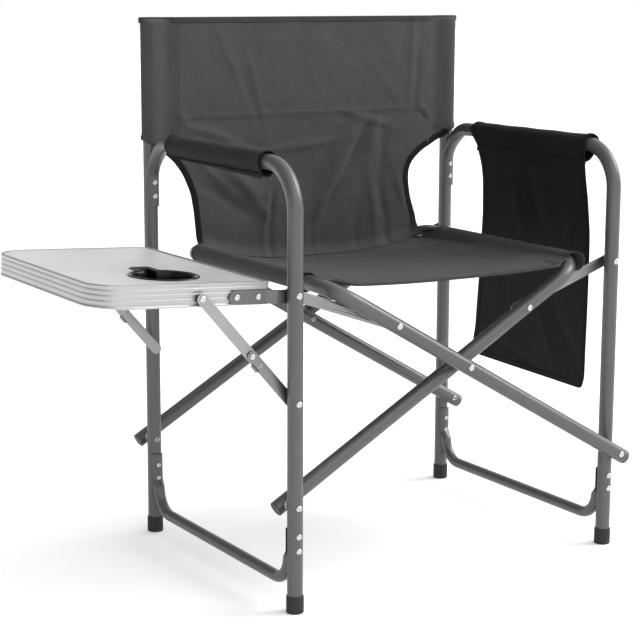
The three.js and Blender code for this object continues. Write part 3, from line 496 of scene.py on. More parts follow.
rivet_piece("rivet_link_rr", LINK_X, LINK_PZ, U2R + TR, U2R - TR + 0.2, "cross_right", "link_rivet_rear_right", sgn=1, rd=3.0)
# the links' own rivet ends, seen behind the cross tubes
for nm, sx, y, b in (("fl", -1, lkFL, "left_links"), ("rl", -1, lkRL, "left_links"), ("fr", 1, lkFR, "right_links"), ("rr", 1, lkRR, "right_links")):
    m = Mesh().add(*lathe(ringhead(3.6, 1.7, 1.3), (sx * LINK_X, y + LT, LINK_PZ), (0, 1, 0)))
    ex, ez = sx * (LINK_X - 9.5 * math.cos(0.33)), LINK_PZ - 9.5 * math.sin(0.33)
    m.add(*lathe(dome(1.9, 1.0), (ex, y, ez), (0, -1, 0), 18))
    m.out("link_end_" + nm, "rivet", b, slot="rivet_steel", sharp=50)

# ------------------------------------------------------------------ table
def outline(o, seg=20):
    x0, x1, y0, y1 = -TAB_OUT + o, -TAB_IN - o, TY0 + o, TY1 - o; r, q, p = max(55 - o, 3), max(3 - o, 0.6), []
    def arc(cx, cy, rr, a0, n):
        for i in range(n + 1):
            a = math.radians(a0 + 90 * i / n); p.append((cx + rr * math.cos(a), cy + rr * math.sin(a)))
    arc(x0 + r, y0 + r, r, 180, seg); arc(x1 - q, y0 + q, q, 270, 4); arc(x1 - q, y1 - q, q, 0, 4); arc(x0 + r, y1 - r, r, 90, seg)
    return np.array(p)
def rib(z, i0=0.85, hgt=0.48, w=5.4, n=8):
    return [(i0 - hgt * math.sin(math.pi * k / n), z + w / 2 * math.cos(math.pi * k / n)) for k in range(n + 1)]
prof = [(4.6, 15.2), (4.4, 16.9), (3.9, 17.3), (1.2, 17.3), (0.35, 16.9), (0, 16.1), (0, 15.2), (0.4, 14.4), (0.7, 13.9), (0.85, 13.2)]
for zz in (8.6, 1.6, -5.4): prof += rib(zz)
prof += [(0.85, -10.2), (0.7, -10.8), (0.4, -11.2), (0, -11.9), (0, -13.0), (0.4, -13.8), (1.2, -14.1), (9.0, -14.1), (9.2, -13.0), (3.6, -12.8), (3.6, 11.2), (6.5, 11.4)]
rings = [np.c_[outline(i), np.full(len(outline(i)), z)] for i, z in prof]
K = len(rings[0]); base = outline(0); cum = np.r_[0, np.cumsum(np.linalg.norm(np.diff(base, axis=0), axis=1))]
v = np.vstack(rings); f = []; uv = [(cum[j], i[1] * 1.0 + i[0]) for i in prof for j in range(K)]
for r in range(len(prof)):
    r2 = (r + 1) % len(prof)
    for j in range(K):
        k = (j + 1) % K; f.append([r * K + j, r * K + k, r2 * K + k, r2 * K + j])
make("table_edge", T(v), f, "alu", "table", uv=uv, repl="table_frame", slot="table_aluminium", sharp=28)

def keyhole(R, w, Ly, rc, na=44):
    """Circle of radius R with a slot of half-width w running to +y up to Ly, corner radius rc."""
    a = math.asin(min(w / R, 0.99)); p = []
    for i in range(na + 1):
        t = math.pi / 2 + a + (2 * math.pi - 2 * a) * i / na; p.append((R * math.cos(t), R * math.sin(t)))
    def arc(cx, cy, a0):
        for i in range(5):
            t = math.radians(a0 + 90 * i / 4); p.append((cx + rc * math.cos(t), cy + rc * math.sin(t)))
    ys = R * math.cos(a)
    for k in (0.25, 0.5, 0.75): p.append((w, ys + (Ly - rc - ys) * k))
    arc(w - rc, Ly - rc, 0); arc(-w + rc, Ly - rc, 90)
    for k in (0.75, 0.5, 0.25): p.append((-w, ys + (Ly - rc - ys) * k))
    return np.array(p)
cup_rows = [(47.2, 14.2, 77.5, 3.4, 15.2), (48.7, 15.7, 79, 4, 15.3), (49.2, 16.2, 79.5, 4.2, 16.2), (48.6, 15.6, 79, 4, 17.3), (47.3, 14.3, 77.6, 3.6, 17.8), (45.9, 12.9, 76.2, 3, 17.6),
            (45.2, 12.2, 75.5, 2.8, 16.9), (43.4, 10.6, 73.8, 2.4, 16.7), (42.6, 9.8, 73, 2.2, 16.1), (42.1, 9.4, 72.5, 2.0, 14), (41.4, 9.0, 71.5, 2.0, 2), (40.6, 8.7, 70.5, 2.0, -12), (39.6, 8.2, 69.5, 2, -16.2), (37.5, 7.4, 67.5, 2, -17.2)]
v, uv = [], []
for R, w, Ly, rc, z in cup_rows:
    q = keyhole(R, w, Ly, rc)
    for px, py in q: v.append((-CUP_A + px, CUP_Y + py, z)); uv.append((px, py))
K = len(keyhole(49, 15, 79, 4)); f = []
for r in range(len(cup_rows) - 1):
    for j in range(K):
        k = (j + 1) % K; f.append([r * K + j, r * K + k, (r + 1) * K + k, (r + 1) * K + j])
# outside of the well and a closed floor
base_n = len(v)
for (R, w, Ly, rc, z) in [(38.2, 8.0, 68.3, 2, -18.0), (41.3, 9.6, 71.3, 2, -16.8), (43.2, 11.2, 73.6, 2.2, 14.2)]:
    for px, py in keyhole(R, w, Ly, rc): v.append((-CUP_A + px, CUP_Y + py, z)); uv.append((px, py))
for r in range(2):
    for j in range(K):
        k = (j + 1) % K; f.append([base_n + r * K + j, base_n + r * K + k, base_n + (r + 1) * K + k, base_n + (r + 1) * K + j])
for j in range(K):
    k = (j + 1) % K; f.append([base_n + 2 * K + j, base_n + 2 * K + k, k, j])
f.append([(len(cup_rows) - 1) * K + j for j in range(K)]); f.append([base_n + j for j in range(K)][::-1])
make("cup_well", T(np.array(v)), f, "cup", "table", uv=uv, repl="cup_holder", slot="cup_plastic", sharp=40)

# top sheet with the cup opening: outer loop and hole joined by triangle fill
def sheet_with_hole(name, outer, hole, z0, z1, mat, repl=None, slot=None):
    bm = bmesh.new(); ev = []
    for loop in (outer, hole):
        vs = [bm.verts.new((*p, z1)) for p in loop]
        ev += [bm.edges.new((vs[i], vs[(i + 1) % len(vs)])) for i in range(len(vs))]
    bmesh.ops.triangle_fill(bm, edges=ev, use_beauty=True)
    bm.verts.ensure_lookup_table(); bm.verts.index_update()
    vt = [tuple(q.co) for q in bm.verts]; ft = [[q.index for q in fc.verts] for fc in bm.faces]; nb = len(vt)
    be = [(e.verts[0].index, e.verts[1].index) for e in bm.edges if e.is_boundary]; bm.free()
    v = vt + [(p[0], p[1], z0) for p in vt]; f = ft + [[i + nb for i in q][::-1] for q in ft] + [[a, b, b + nb, a + nb] for a, b in be]
    return make(name, T(np.array(v)), f, mat, "table", uv=[(p[0], p[1]) for p in v], repl=repl or (), slot=slot, sharp=30)
hole = keyhole(43.9, 11.9, 74.2, 2.4) + np.array([-CUP_A, CUP_Y])
sheet_with_hole("table_sheet", outline(3.9), hole, 13.6, 15.6, "top", "table_top", "table_top")
sheet_with_hole("table_board", outline(7.2), keyhole(43.9, 11.9, 74.2, 2.4) + np.array([-CUP_A, CUP_Y]), 11.6, 13.4, "under", slot="table_top")

# hinge bars
def hinge_bar(name, pts, repl, body="table"):
    """pts: centre line in table x-y; rounded outer end; 19 mm high."""
    P = densify(fillet([(x, y, 0) for x, y in pts], [5, 5], 8), 2.5)
    s = np.r_[0, np.cumsum(np.linalg.norm(np.diff(P, axis=0), axis=1))]; H, t, zc = 9.5, 1.0, -3.0
    def sec(i, q):
        h = H
        e = s[-1] - q
        for d in (q, e):
            if d < H: h = min(h, math.sqrt(max(H * H - (H - d) ** 2, 0.02)))
        h = max(h, 0.6); b = min(0.35, h * 0.4)
        return [(zc - h, -t + b), (zc - h + b, -t), (zc + h - b, -t), (zc + h, -t + b), (zc + h, t - b), (zc + h - b, t), (zc - h + b, t), (zc - h, t - b)]
    v, f, uv = sweep(P, (0, 0, 1), sec)
    make(name, T(np.array(v)), f, "steel_dark", body, uv=uv, repl=repl, slot="strut_steel", sharp=35)
yb = YRL - TR - 1.3
hinge_bar("hinge_bar_f", [(-91, TY0 - 1.3), (-34, TY0 - 1.3), (-22, YFL + TR + 1.3), (9.3, YFL + TR + 1.3)], "table_hinge_bar_front")
hinge_bar("hinge_bar_r", [(-91, TY1 + 1.3), (-33, TY1 + 1.3), (-21, yb), (9.3, yb)], "table_hinge_bar_rear")
m = Mesh()
for a in (79.1, 46.4):
    for y, sg in ((TY0 - 2.3, -1), (TY1 + 2.3, 1)):
        v, f, uv = lathe(dome(4.4, 2.3), (-a, y, -3.0), (0, sg, 0)); m.add(T(np.array(v)), f, uv)
m.out("hinge_rivets", "rivet", "table", slot="rivet_steel", sharp=50)

# ------------------------------------------------------------------ struts
SW, LLOW, TA, TH = 16.0, 90.2, 132.2, -3.0
TX = -HW - TA * math.cos(TILT) + TH * math.sin(TILT); TZ = LINK_Z + TA * math.sin(TILT) + TH * math.cos(TILT)
SD = math.hypot(TX + HW, TZ - STRUT_Z); ux, uz = (TX + HW) / SD, (TZ - STRUT_Z) / SD
KX, KZ = -HW + ux * LLOW, STRUT_Z + uz * LLOW
def strut(nm, yl, yu, t, yface, front):
    m = Mesh(); pts, L = bar_outline(-HW, STRUT_Z, KX, KZ, SW, 8, 8); plate(m, pts, yl, yl + t, 0.4, L)
    px, pz = -uz, ux; sx, sz = KX - ux * 15, KZ - uz * 15
    tab = [(sx + px * 6 - ux * 8, sz + pz * 6 - uz * 8), (sx + px * 11 - ux * 5, sz + pz * 11 - uz * 5), (sx + px * 11 + ux * 7, sz + pz * 11 + uz * 7), (sx + px * 6 + ux * 9, sz + pz * 6 + uz * 9)]
    plate(m, tab[::-1], yl, yl + t, 0.35)
    # the front lower strut takes the darker steel copy: painted shade
    m.out("strut_low_" + nm, "steel_lower_shade" if front else "steel", "struts_lower", repl="strut_lower_" + nm, slot="strut_steel")
    m = Mesh(); pts, L = bar_outline(KX, KZ, TX, TZ, SW, 8, 8); plate(m, pts, yu, yu + t, 0.4, L)
    m.out("strut_up_" + nm, "steel", "struts_upper", repl="strut_upper_" + nm, slot="strut_steel")
    sg = -1 if front else 1
    m = Mesh()
    a, b = sorted((yu + (t if front else 0), yface))
    m.add(*lathe([(0, 0), (6.6, 0), (7.0, 0.4), (7.0, b - a - 0.4), (6.6, b - a), (0, b - a)], (TX, a, TZ), (0, 1, 0), 28))
    m.out("strut_washer_" + nm, "foot", "struts_upper", slot="strut_steel")
    m = Mesh().add(*lathe(dome(4.7, 2.3), (TX, yu + (0 if front else t), TZ), (0, sg, 0))); m.out("strut_rivet_" + nm, "rivet", "struts_upper", slot="rivet_steel", sharp=50)
    m = Mesh().add(*lathe(dome(4.3, 2.0), (KX, yl + (0 if front else t), KZ), (0, sg, 0)))
    m.add(*lathe(ringhead(2.6, 1.2, 1.0), (KX - ux * 18, yl + (0 if front else t), KZ - uz * 18), (0, sg, 0), 20))
    m.out("knee_rivet_" + nm + "_head", "rivet", "struts_lower", repl="knee_rivet_" + nm, slot="rivet_steel", sharp=50)
sF0, sR1 = YFL + TR + 0.3, YRL - TR - 0.3
strut("front", sF0, sF0 + 2.3, 2.0, TY0, True); strut("rear", sR1 - 2, sR1 - 4.3, 2.0, TY1, False)
rivet_piece("pin_strut_f", -HW, STRUT_Z, YFL - TR + 0.2, sF0 + 1.9, "left_side", "strut_pin_front", ring=False)
rivet_piece("pin_strut_r", -HW, STRUT_Z, YRL + TR - 0.2, sR1 - 1.9, "left_side", "strut_pin_rear", sgn=1, ring=False)

# ------------------------------------------------------------------ cloth helpers
def interp(pts):
    a = np.array(sorted(pts)); xs, ys = a[:, 0], a[:, 1]
    # monotone-ish smooth interpolation (Catmull-Rom tangents)
    m = np.gradient(ys, xs)
    def fn(q):
        q = np.clip(np.asarray(q, float), xs[0], xs[-1]); i = np.clip(np.searchsorted(xs, q) - 1, 0, len(xs) - 2)
        h = xs[i + 1] - xs[i]; t = (q - xs[i]) / h
        return (2 * t**3 - 3 * t**2 + 1) * ys[i] + (t**3 - 2 * t**2 + t) * h * m[i] + (-2 * t**3 + 3 * t**2) * ys[i + 1] + (t**3 - t**2) * h * m[i + 1]
    return fn

def grid_normals(G):
    n = np.cross(np.gradient(G, axis=0), np.gradient(G, axis=1)); return n / (np.linalg.norm(n, axis=2)[..., None] + 1e-12)

def cloth(name, G, thick, mat, U=None, keep=None, **k):
    """G: (nu, nv, 3) mid-surface points. Closed thin sheet; keep marks the cells that are cloth. UV is arc length."""
    G = np.asarray(G, float); nu, nv = G.shape[:2]; n = grid_normals(G)
    if U is None:
        a = np.r_[np.zeros((1, nv)), np.cumsum(np.linalg.norm(np.diff(G, axis=0), axis=2), 0)]
        b = np.c_[np.zeros((nu, 1)), np.cumsum(np.linalg.norm(np.diff(G, axis=1), axis=2), 1)]
        U = np.dstack([a - a[nu // 2][None], b])
    h = thick / 2; v = np.vstack([(G + n * h).reshape(-1, 3), (G - n * h).reshape(-1, 3)]); uv = np.vstack([U.reshape(-1, 2)] * 2)
    f, edges, N0 = [], set(), nu * nv
    for i in range(nu - 1):
        for j in range(nv - 1):
            if keep is not None and not keep[i, j]: continue
            a = i * nv + j; q = [a, a + nv, a + nv + 1, a + 1]; f.append(q); f.append([x + N0 for x in q[::-1]])
            for x, y in zip(q, q[1:] + q[:1]): edges.add((x, y))
    for x, y in sorted(edges):
        if (y, x) not in edges: f.append([y, x, x + N0, y + N0])
    used = sorted({x for q in f for x in q}); mp = {x: i for i, x in enumerate(used)}
    return make(name, v[used], [[mp[x] for x in q] for q in f], mat, uv=uv[used], sharp=50, **k)

def stitches(name, lines, mat="thread", pitch=4.0, ln=2.9, r=0.32, lift=0.55, **k):
    """lines: list of (points, normals). Each stitch is a small lens of thread lying on the cloth."""
    m = Mesh()
    for P, Nn in lines:
        P, Nn = np.asarray(P, float), np.asarray(Nn, float); s = np.r_[0, np.cumsum(np.linalg.norm(np.diff(P, axis=0), axis=1))]
        q = np.arange(pitch / 2, s[-1] - pitch / 2, pitch)
        C = np.c_[[np.interp(q, s, P[:, i]) for i in range(3)]].T; Nq = np.c_[[np.interp(q, s, Nn[:, i]) for i in range(3)]].T
        A = np.c_[[np.interp(q + 0.5, s, P[:, i]) - np.interp(q - 0.5, s, P[:, i]) for i in range(3)]].T
        for c, nn, t in zip(C, Nq, A):
            t = t / (np.linalg.norm(t) + 1e-9); nn = nn / (np.linalg.norm(nn) + 1e-9); b = np.cross(t, nn); c = c + nn * lift
            vs = [c - t * ln / 2 - nn * 0.25]
            for o, w in ((-0.3, 0.8), (0, 1.0), (0.3, 0.8)):
                for a in range(5): an = 2 * math.pi * a / 5; vs.append(c + t * ln * o + (b * math.cos(an) + nn * math.sin(an)) * r * w)
            vs.append(c + t * ln / 2 - nn * 0.25); fs = []
            for a in range(5):
                d = (a + 1) % 5; fs += [[0, 1 + d, 1 + a], [1 + a, 1 + d, 6 + d, 6 + a], [6 + a, 6 + d, 11 + d, 11 + a], [11 + a, 11 + d, 16]]
            m.add(vs, fs)
    return m.out(name, mat, sharp=0, **k)

def binding(name, P, D, Nn, width=9.0, half=1.35, mat="bind", **k):
    """Tape folded over an edge. P edge points, D unit direction into the cloth, Nn cloth normal."""
    P, D, Nn = (np.asarray(a, float) for a in (P, D, Nn))
    prof = [(width, 0.55), (width - 0.4, half), (1.6, half * 1.05), (0.2, half * 0.8), (-0.45, 0), (0.2, -half * 0.8), (1.6, -half * 1.05), (width - 0.4, -half), (width, -0.55)]
    s = np.r_[0, np.cumsum(np.linalg.norm(np.diff(P, axis=0), axis=1))]
    v, uv, f = [], [], []; kk = len(prof)
    for i in range(len(P)):
        for j, (a, b) in enumerate(prof): v.append(P[i] + D[i] * a + Nn[i] * b); uv.append((s[i], a + (30 if j > 4 else 0)))
    for i in range(len(P) - 1):
        for j in range(kk):
            a, b = i * kk + j, i * kk + (j + 1) % kk; f.append([a, b, b + kk, a + kk])
    f.append(list(range(kk))[::-1]); f.append([(len(P) - 1) * kk + j for j in range(kk)])
    return make(name, np.array(v), f, mat, uv=uv, sharp=45, **k)

def gauss(x, s): return np.exp(-(x / s) ** 2)
def fold(x, z, x0, z0, ang, w, L, h):
    """One soft crease: height h, half-width w, half-length L, centre (x0, z0), direction ang degrees."""
    a = math.radians(ang); u, v = (x - x0) * math.cos(a) + (z - z0) * math.sin(a), -(x - x0) * math.sin(a) + (z - z0) * math.cos(a)
    return h * gauss(v, w) * gauss(u, L)

# ------------------------------------------------------------------ backrest
xl = interp([(624, -284.5), (619, -283.5), (613, -279), (607, -271), (603, -264.8), (592, -254), (580, -244), (567.6, -234.9), (551, -226.5), (534.7, -220.0), (512, -215.5), (490, -212.7), (470, -210.6), (452, -209.5), (440, -209.2)])
xr = interp([(624, 284.5), (619, 283.6), (612, 278.5), (607.5, 272), (604.5, 266), (596, 252), (586, 235.5), (577, 222.5), (566.2, 210.8), (553, 204.2), (540.4, 202.3), (526, 203), (512.3, 205.4), (495, 210), (476.9, 216), (464, 220), (452, 223.5), (440, 225)])
zj = interp([(-287, 462), (-209, 455), (-171, 444), (-130, 433), (-93, 427), (-58, 424), (-12, 423), (40, 422.5), (85, 423), (130, 426), (174, 431), (226, 447), (287, 460)])
SEAM = 244.5
def yplane(x): return 199.5 + 26.0 * (x + 245) / 490
def rough_cloth(x, z, s, seed):
    """Fine irregular crinkle, the same each run."""
    a, b = np.broadcast_arrays(np.asarray(x, float), np.asarray(z, float)); out = np.empty(a.shape)
    for i, (p, q) in enumerate(zip(a.ravel(), b.ravel())):
        n1 = noise.noise(Vector((p / s, q / s, seed))); n2 = noise.noise(Vector((p / s * 2.1 + 7, q / s * 2.1, seed + 3)))
        out.ravel()[i] = n1 + 0.45 * n2 - 0.5 * abs(noise.noise(Vector((p / s * 0.8, q / s * 1.4, seed + 9))))
    return out
def back_wrinkles(x, z):
    f = fold
    w = (f(x, z, -150, 745, -66, 6, 60, -1.9) + f(x, z, -112, 690, -70, 7, 55, 1.7) + f(x, z, -100, 700, -74, 5, 60, -1.5) + f(x, z, -10, 765, -52, 6, 42, -1.5) + f(x, z, 6, 742, -56, 7, 40, 1.1)
         + f(x, z, 207, 745, 88, 5, 62, -2.2) + f(x, z, 219, 725, 84, 4.5, 55, 1.8) + f(x, z, 230, 700, 80, 5, 60, -1.7) + f(x, z, 188, 765, 75, 7, 35, 1.2)
         + f(x, z, 150, 700, -48, 7, 50, -1.3) + f(x, z, 60, 700, 20, 10, 60, 0.8) + f(x, z, -60, 730, 60, 12, 50, 0.9)
         + f(x, z, 66, 575, 58, 13, 75, -6.5) + f(x, z, 92, 585, 60, 9, 75, 4.0) + f(x, z, 28, 560, 60, 10, 66, 2.6) + f(x, z, 128, 610, 76, 10, 40, -3.0) + f(x, z, 150, 590, 84, 9, 42, 2.6)
         + f(x, z, 176, 575, 50, 7, 26, -2.0) + f(x, z, 26, 510, 52, 7, 30, -3.4) + f(x, z, 44, 505, 58, 6, 30, 2.8) + f(x, z, 8, 478, 78, 7, 30, 2.0)
         + f(x, z, -122, 548, -34, 12, 62, -3.4) + f(x, z, -152, 520, -32, 10, 56, 3.0) + f(x, z, -98, 515, -48, 9, 46, -2.4) + f(x, z, -176, 560, -40, 7, 36, -2.0)
         + f(x, z, -70, 497, 84, 5, 30, 3.4) + f(x, z, -82, 495, 80, 5, 30, -3.0) + f(x, z, -60, 520, 60, 7, 26, -2.0)
         + f(x, z, -20, 600, 6, 7, 120, -1.6) + f(x, z, 118, 640, -16, 6, 56, -2.0) + f(x, z, -180, 628, -15, 7, 56, -2.2) + f(x, z, -120, 612, -22, 8, 56, 1.6)
         + f(x, z, 130, 500, 98, 8, 42, -3.0) + f(x, z, 152, 492, 102, 7, 40, 2.6) + f(x, z, 96, 480, 80, 8, 36, 1.8) + f(x, z, 185, 520, 108, 6, 34, -1.8)
         + f(x, z, -228, 772, 66, 4.5, 26, -1.6) + f(x, z, -236, 655, -50, 5, 18, -2.2) + f(x, z, 240, 645, -52, 5, 24, -3.0) + f(x, z, 232, 640, -40, 4, 24, 2.0))
    return w * (0.8 + 0.6 * np.clip((668 - z) / 32, 0, 1)) + 1.15 * rough_cloth(x, z, 48.0, 2.0) + 0.45 * rough_cloth(x, z, 19.0, 12.0)
def sleeve_line(ax, sd):
    """Front face of the cloth between the vertical seam and the post, by |x|."""
    py = YRL if sd < 0 else YRR; R = 12.3
    ys = yplane(sd * SEAM); d0 = np.array([SEAM - HW, ys - py]); d = np.linalg.norm(d0)
    phi = math.atan2(d0[1], d0[0]) + math.acos(R / d) * (1 if d0[1] < 0 else 1)
    # tangent point on the post's front
    c1 = np.array([math.cos(phi), math.sin(phi)]) * R; phi2 = math.atan2(d0[1], d0[0]) - math.acos(R / d); c2 = np.array([math.cos(phi2), math.sin(phi2)]) * R
    c = c1 if c1[1] < c2[1] else c2; tx, ty = HW + c[0], py + c[1]
    q = np.clip((np.asarray(ax, float) - SEAM) / (tx - SEAM), 0, 1)
    return ys + (ty - ys) * q + 9.0 * np.sin(np.pi * q) * (1 - q), tx, ty, math.atan2(c[1], c[0])
def back_front(x, z, wr=None):
    """Mid-surface y of the back's front layer."""
    x, z = np.broadcast_arrays(np.asarray(x, float), np.asarray(z, float)); ax = np.abs(x)
    belly = 4.0 * np.clip(1 - (x / 250) ** 2, 0, 1) * gauss(z - 560, 140)
    w = back_wrinkles(x, z) if wr is None else wr
    seam = -0.2 - 1.0 * gauss(z - 655, 2.6) * np.clip((SEAM - ax) / 20, 0, 1) + 0.4 * gauss(z - 666, 5) + 0.4 * gauss(z - 644, 5)
    y0 = yplane(x) + belly + (w + seam) * np.clip((SEAM + 4 - ax) / 26, 0, 1) ** 0.7 + 1.6 * gauss(ax - SEAM, 3.5) * (z > 628)
    out = y0.copy()
    for sd in (-1, 1):
        m = (ax > SEAM) & (x * sd > 0)
        if m.any():
            l, tx, ty, _ = sleeve_line(ax[m], sd); k = np.clip((z[m] - 590) / 32, 0, 1)
            pl = yplane(x[m]); out[m] = (pl + (l - pl) * k) + 0.8 * np.sin(z[m] * 0.045 + sd) * np.sin(np.pi * np.clip((ax[m] - SEAM) / 40, 0, 1)) * k
    return out
RT = 12.3
zrow = np.r_[np.linspace(806, 792, 9), np.linspace(789, 640, 58), np.linspace(637.5, 622, 8), np.linspace(619, 560, 30), np.linspace(557, 472, 34)]
nwrap_row = 9 + 58 + 8                      # rows that go round the posts
front_cols = np.r_[-np.linspace(284.4, 248, 12), np.linspace(-SEAM, SEAM, 146), np.linspace(248, 284.4, 12)]
def wrap_cols(sd, z):
    """Rear flap from the seam, round the post, to where the front layer leaves it; outer to inner order reversed by the caller."""
    py = YRL if sd < 0 else YRR; _, tx, ty, ph = sleeve_line(SEAM, sd)
    ys = yplane(sd * SEAM) + 2.6; top = np.clip((z - 799.5) / 6.5, 0, 1); top = top * top * (3 - 2 * top); P = []
    ph1 = math.radians(112)
    rx, ry = HW + RT * math.cos(ph1), py + RT * math.sin(ph1)
    for q in np.linspace(0, 1, 9)[:-1]: P.append((SEAM + (rx - SEAM) * q, ys + (ry - ys) * q, 0))
    for a in np.linspace(ph1, ph, 30):
        flare = 1.0 + 0.09 * gauss(z - 620, 9)
        X, Y = HW + RT * flare * math.cos(a) * (1 + 0.22 * top), py + RT * flare * math.sin(a) * (1 - 0.62 * top)
        P.append((X, Y, max(0.0, -math.degrees(a)) / 90))
    return P
rowsG, keep = [], []
wr_cache = None
for r, z in enumerate(zrow):
    if z > 622.5 or r == nwrap_row - 1: sx_l = sx_r = 1.0
    else: sx_l, sx_r = abs(float(xl(z))) / 284.4, abs(float(xr(z))) / 284.4
    X = np.where(front_cols < 0, front_cols * sx_l, front_cols * sx_r)
    zz_ = np.full_like(X, z); Y = back_front(X, zz_)
    kb = np.clip((652 - z) / 30, 0, 1) * np.clip((z - 585) / 37, 0, 1)
    top = np.clip((z - 799.5) / 6.5, 0, 1); top = top * top * (3 - 2 * top)
    for sd in (-1, 1):
        m = (np.abs(front_cols) > SEAM + 1) & (front_cols * sd > 0); _, tx, ty, ph = sleeve_line(SEAM, sd); py = YRL if sd < 0 else YRR
        q = (np.abs(front_cols[m]) - SEAM) / (284.4 - SEAM); Y[m] += top * q * (py - ty) * 0.62
    front = np.c_[X, Y, zz_ - 7.5 * kb * np.clip((np.abs(front_cols) - SEAM) / 40, 0, 1)]
    cols = {}
    for sd in (-1, 1):
        w_ = wrap_cols(sd, z); kz = np.clip((652 - z) / 30, 0, 1)
        cols[sd] = [(sd * a, b, z - 7.5 * kz * c) for a, b, c in w_]
    rowsG.append(np.array(cols[-1] + [tuple(p) for p in front] + cols[1][::-1]))
nw = len(cols[-1]); nf = len(front_cols)
def seat_top(x, y):
    return seat_panel_z(np.asarray(x, float), np.asarray(y, float))
# seat height, needed where the back runs into it
def seat_panel_z(x, y, wr=True):
    x, y = np.broadcast_arrays(np.asarray(x, float), np.asarray(y, float)); ax = np.minimum(np.abs(x), 212.0)
    zf = 446.0 + 6.6 * (ax / 210) ** 3 + 0.8 * (x > 0) * (ax / 210); zr_ = np.minimum(zj(np.clip(x, -205, 205)), 453.0) - 1.5
    yr_ = yplane(x) - 10; t = np.clip((y + 229) / (yr_ + 229), 0, 1.04); z = zf + (zr_ - zf) * t ** 1.45
    if wr:
        f = fold
        w = (f(x, y, 120, -40, 10, 8, 95, 1.7) + f(x, y, 128, -14, 12, 7, 95, -1.8) + f(x, y, 60, 25, 8, 8, 90, 1.4) + f(x, y, 90, 50, 12, 7, 80, -1.5) + f(x, y, -70, -90, -8, 10, 90, -1.3)
             + f(x, y, 140, 70, 20, 8, 60, 1.9) + f(x, y, 160, 96, 26, 7, 52, -2.0) + f(x, y, 172, 124, 32, 7, 44, 2.2) + f(x, y, 184, 150, 38, 6, 34, -2.2) + f(x, y, 120, 140, 14, 8, 60, 1.5)
             + f(x, y, -120, 60, -16, 9, 60, 1.7) + f(x, y, -150, 110, -28, 8, 46, -1.8) + f(x, y, -60, 130, -8, 9, 70, 1.4) + f(x, y, 0, -150, 3, 8, 120, -1.1) + f(x, y, 30, -110, 4, 9, 120, 1.0)
             + f(x, y, 172, -196, 78, 6, 30, -2.2) + f(x, y, 188, -186, 70, 5, 26, 1.8) + f(x, y, 150, -150, 34, 8, 50, 1.2) + f(x, y, -176, -196, -70, 6, 28, -1.5))
        z = z + (w * 1.05 + 0.9 * rough_cloth(x, y, 50.0, 5.0) + 0.35 * rough_cloth(x, y, 20.0, 15.0)) * np.clip((212 - np.abs(x)) / 30, 0, 1) * np.clip((y + 231) / 10, 0.15, 1) - 1.8 * gauss(np.abs(x) - 205, 4.0)
    return z
xlast, ylast = rowsG[-1][nw:nw + nf, 0], rowsG[-1][nw:nw + nf, 1]
RJ = 22.0
for q in np.linspace(0, 1, 24)[1:]:
    z0_ = 472.0; zt = seat_panel_z(xlast, ylast - 13) + 1.36 - RJ * (1 - math.sin(math.radians(66)))
    zt = np.where(xlast > 206, np.maximum(zt, 446 + 0.0 * xlast), zt)
    H = z0_ - zt; Rr = np.minimum(RJ, H * 0.97); L1, L2 = H - Rr, Rr * math.radians(66); s_ = q * (L1 + L2); a = np.clip((s_ - L1) / Rr, 0, None)
    z = np.where(s_ < L1, z0_ - s_, zt + Rr - Rr * np.sin(a)); y = np.where(s_ < L1, ylast, ylast - Rr * (1 - np.cos(a)))
    grow = 1 + 0.024 * q * (xlast > 0) * np.abs(xlast) / 220 - 0.004 * q
    front = np.c_[xlast * grow, y, z]
    pad_l = np.tile(front[0], (nw, 1)); pad_r = np.tile(front[-1], (nw, 1)); rowsG.append(np.vstack([pad_l, front, pad_r]))
G = np.array(rowsG); nr, nc = G.shape[:2]
keep = np.ones((nr - 1, nc - 1), bool); keep[nwrap_row - 1:, :nw] = False; keep[nwrap_row - 1:, nw + nf - 1:] = False
BB = ("back_left", "back_right", tuple(W((-34, 212, 700))), tuple(W((34, 212, 700))))
UB = np.zeros((nr, nc, 2)); seg = np.linalg.norm(np.diff(G[20], axis=0), axis=1); UB[:, :, 0] = np.r_[0, np.cumsum(seg)][None]; UB[:, :, 1] = np.r_[0, np.cumsum(np.linalg.norm(np.diff(G[:, nc // 2], axis=0), axis=1))][:, None]
back = cloth("back_panel", G, 1.3, "canvas", U=UB, keep=keep, blend=BB, repl=("back_left", "back_right"), slot="canvas")
GF = G[:, nw:nw + nf]; GN = grid_normals(GF)
if GN[30, 80, 1] > 0: GN = -GN
i0 = nwrap_row - 1
for col, nm, nx in ((0, "left", 7), (-1, "right", -8)):
    P = GF[i0:, col]; D = GF[i0:, nx] - P; nn_ = GN[i0:, col].copy(); nn_[:3] = GN[i0 + 3, col]
    D -= (D * nn_).sum(1)[:, None] * nn_; t = np.gradient(P, axis=0); t /= np.linalg.norm(t, axis=1)[:, None]; D -= (D * t).sum(1)[:, None] * t; D /= np.linalg.norm(D, axis=1)[:, None]
    binding("back_binding_" + nm, P, D, nn_, 10.5, 1.35, body="back_" + nm, slot="canvas")
    stitches("back_binding_stitch_" + nm, [(P + D * 8.6, nn_)], "thread_dark", lift=1.35, body="back_" + nm, slot="canvas")
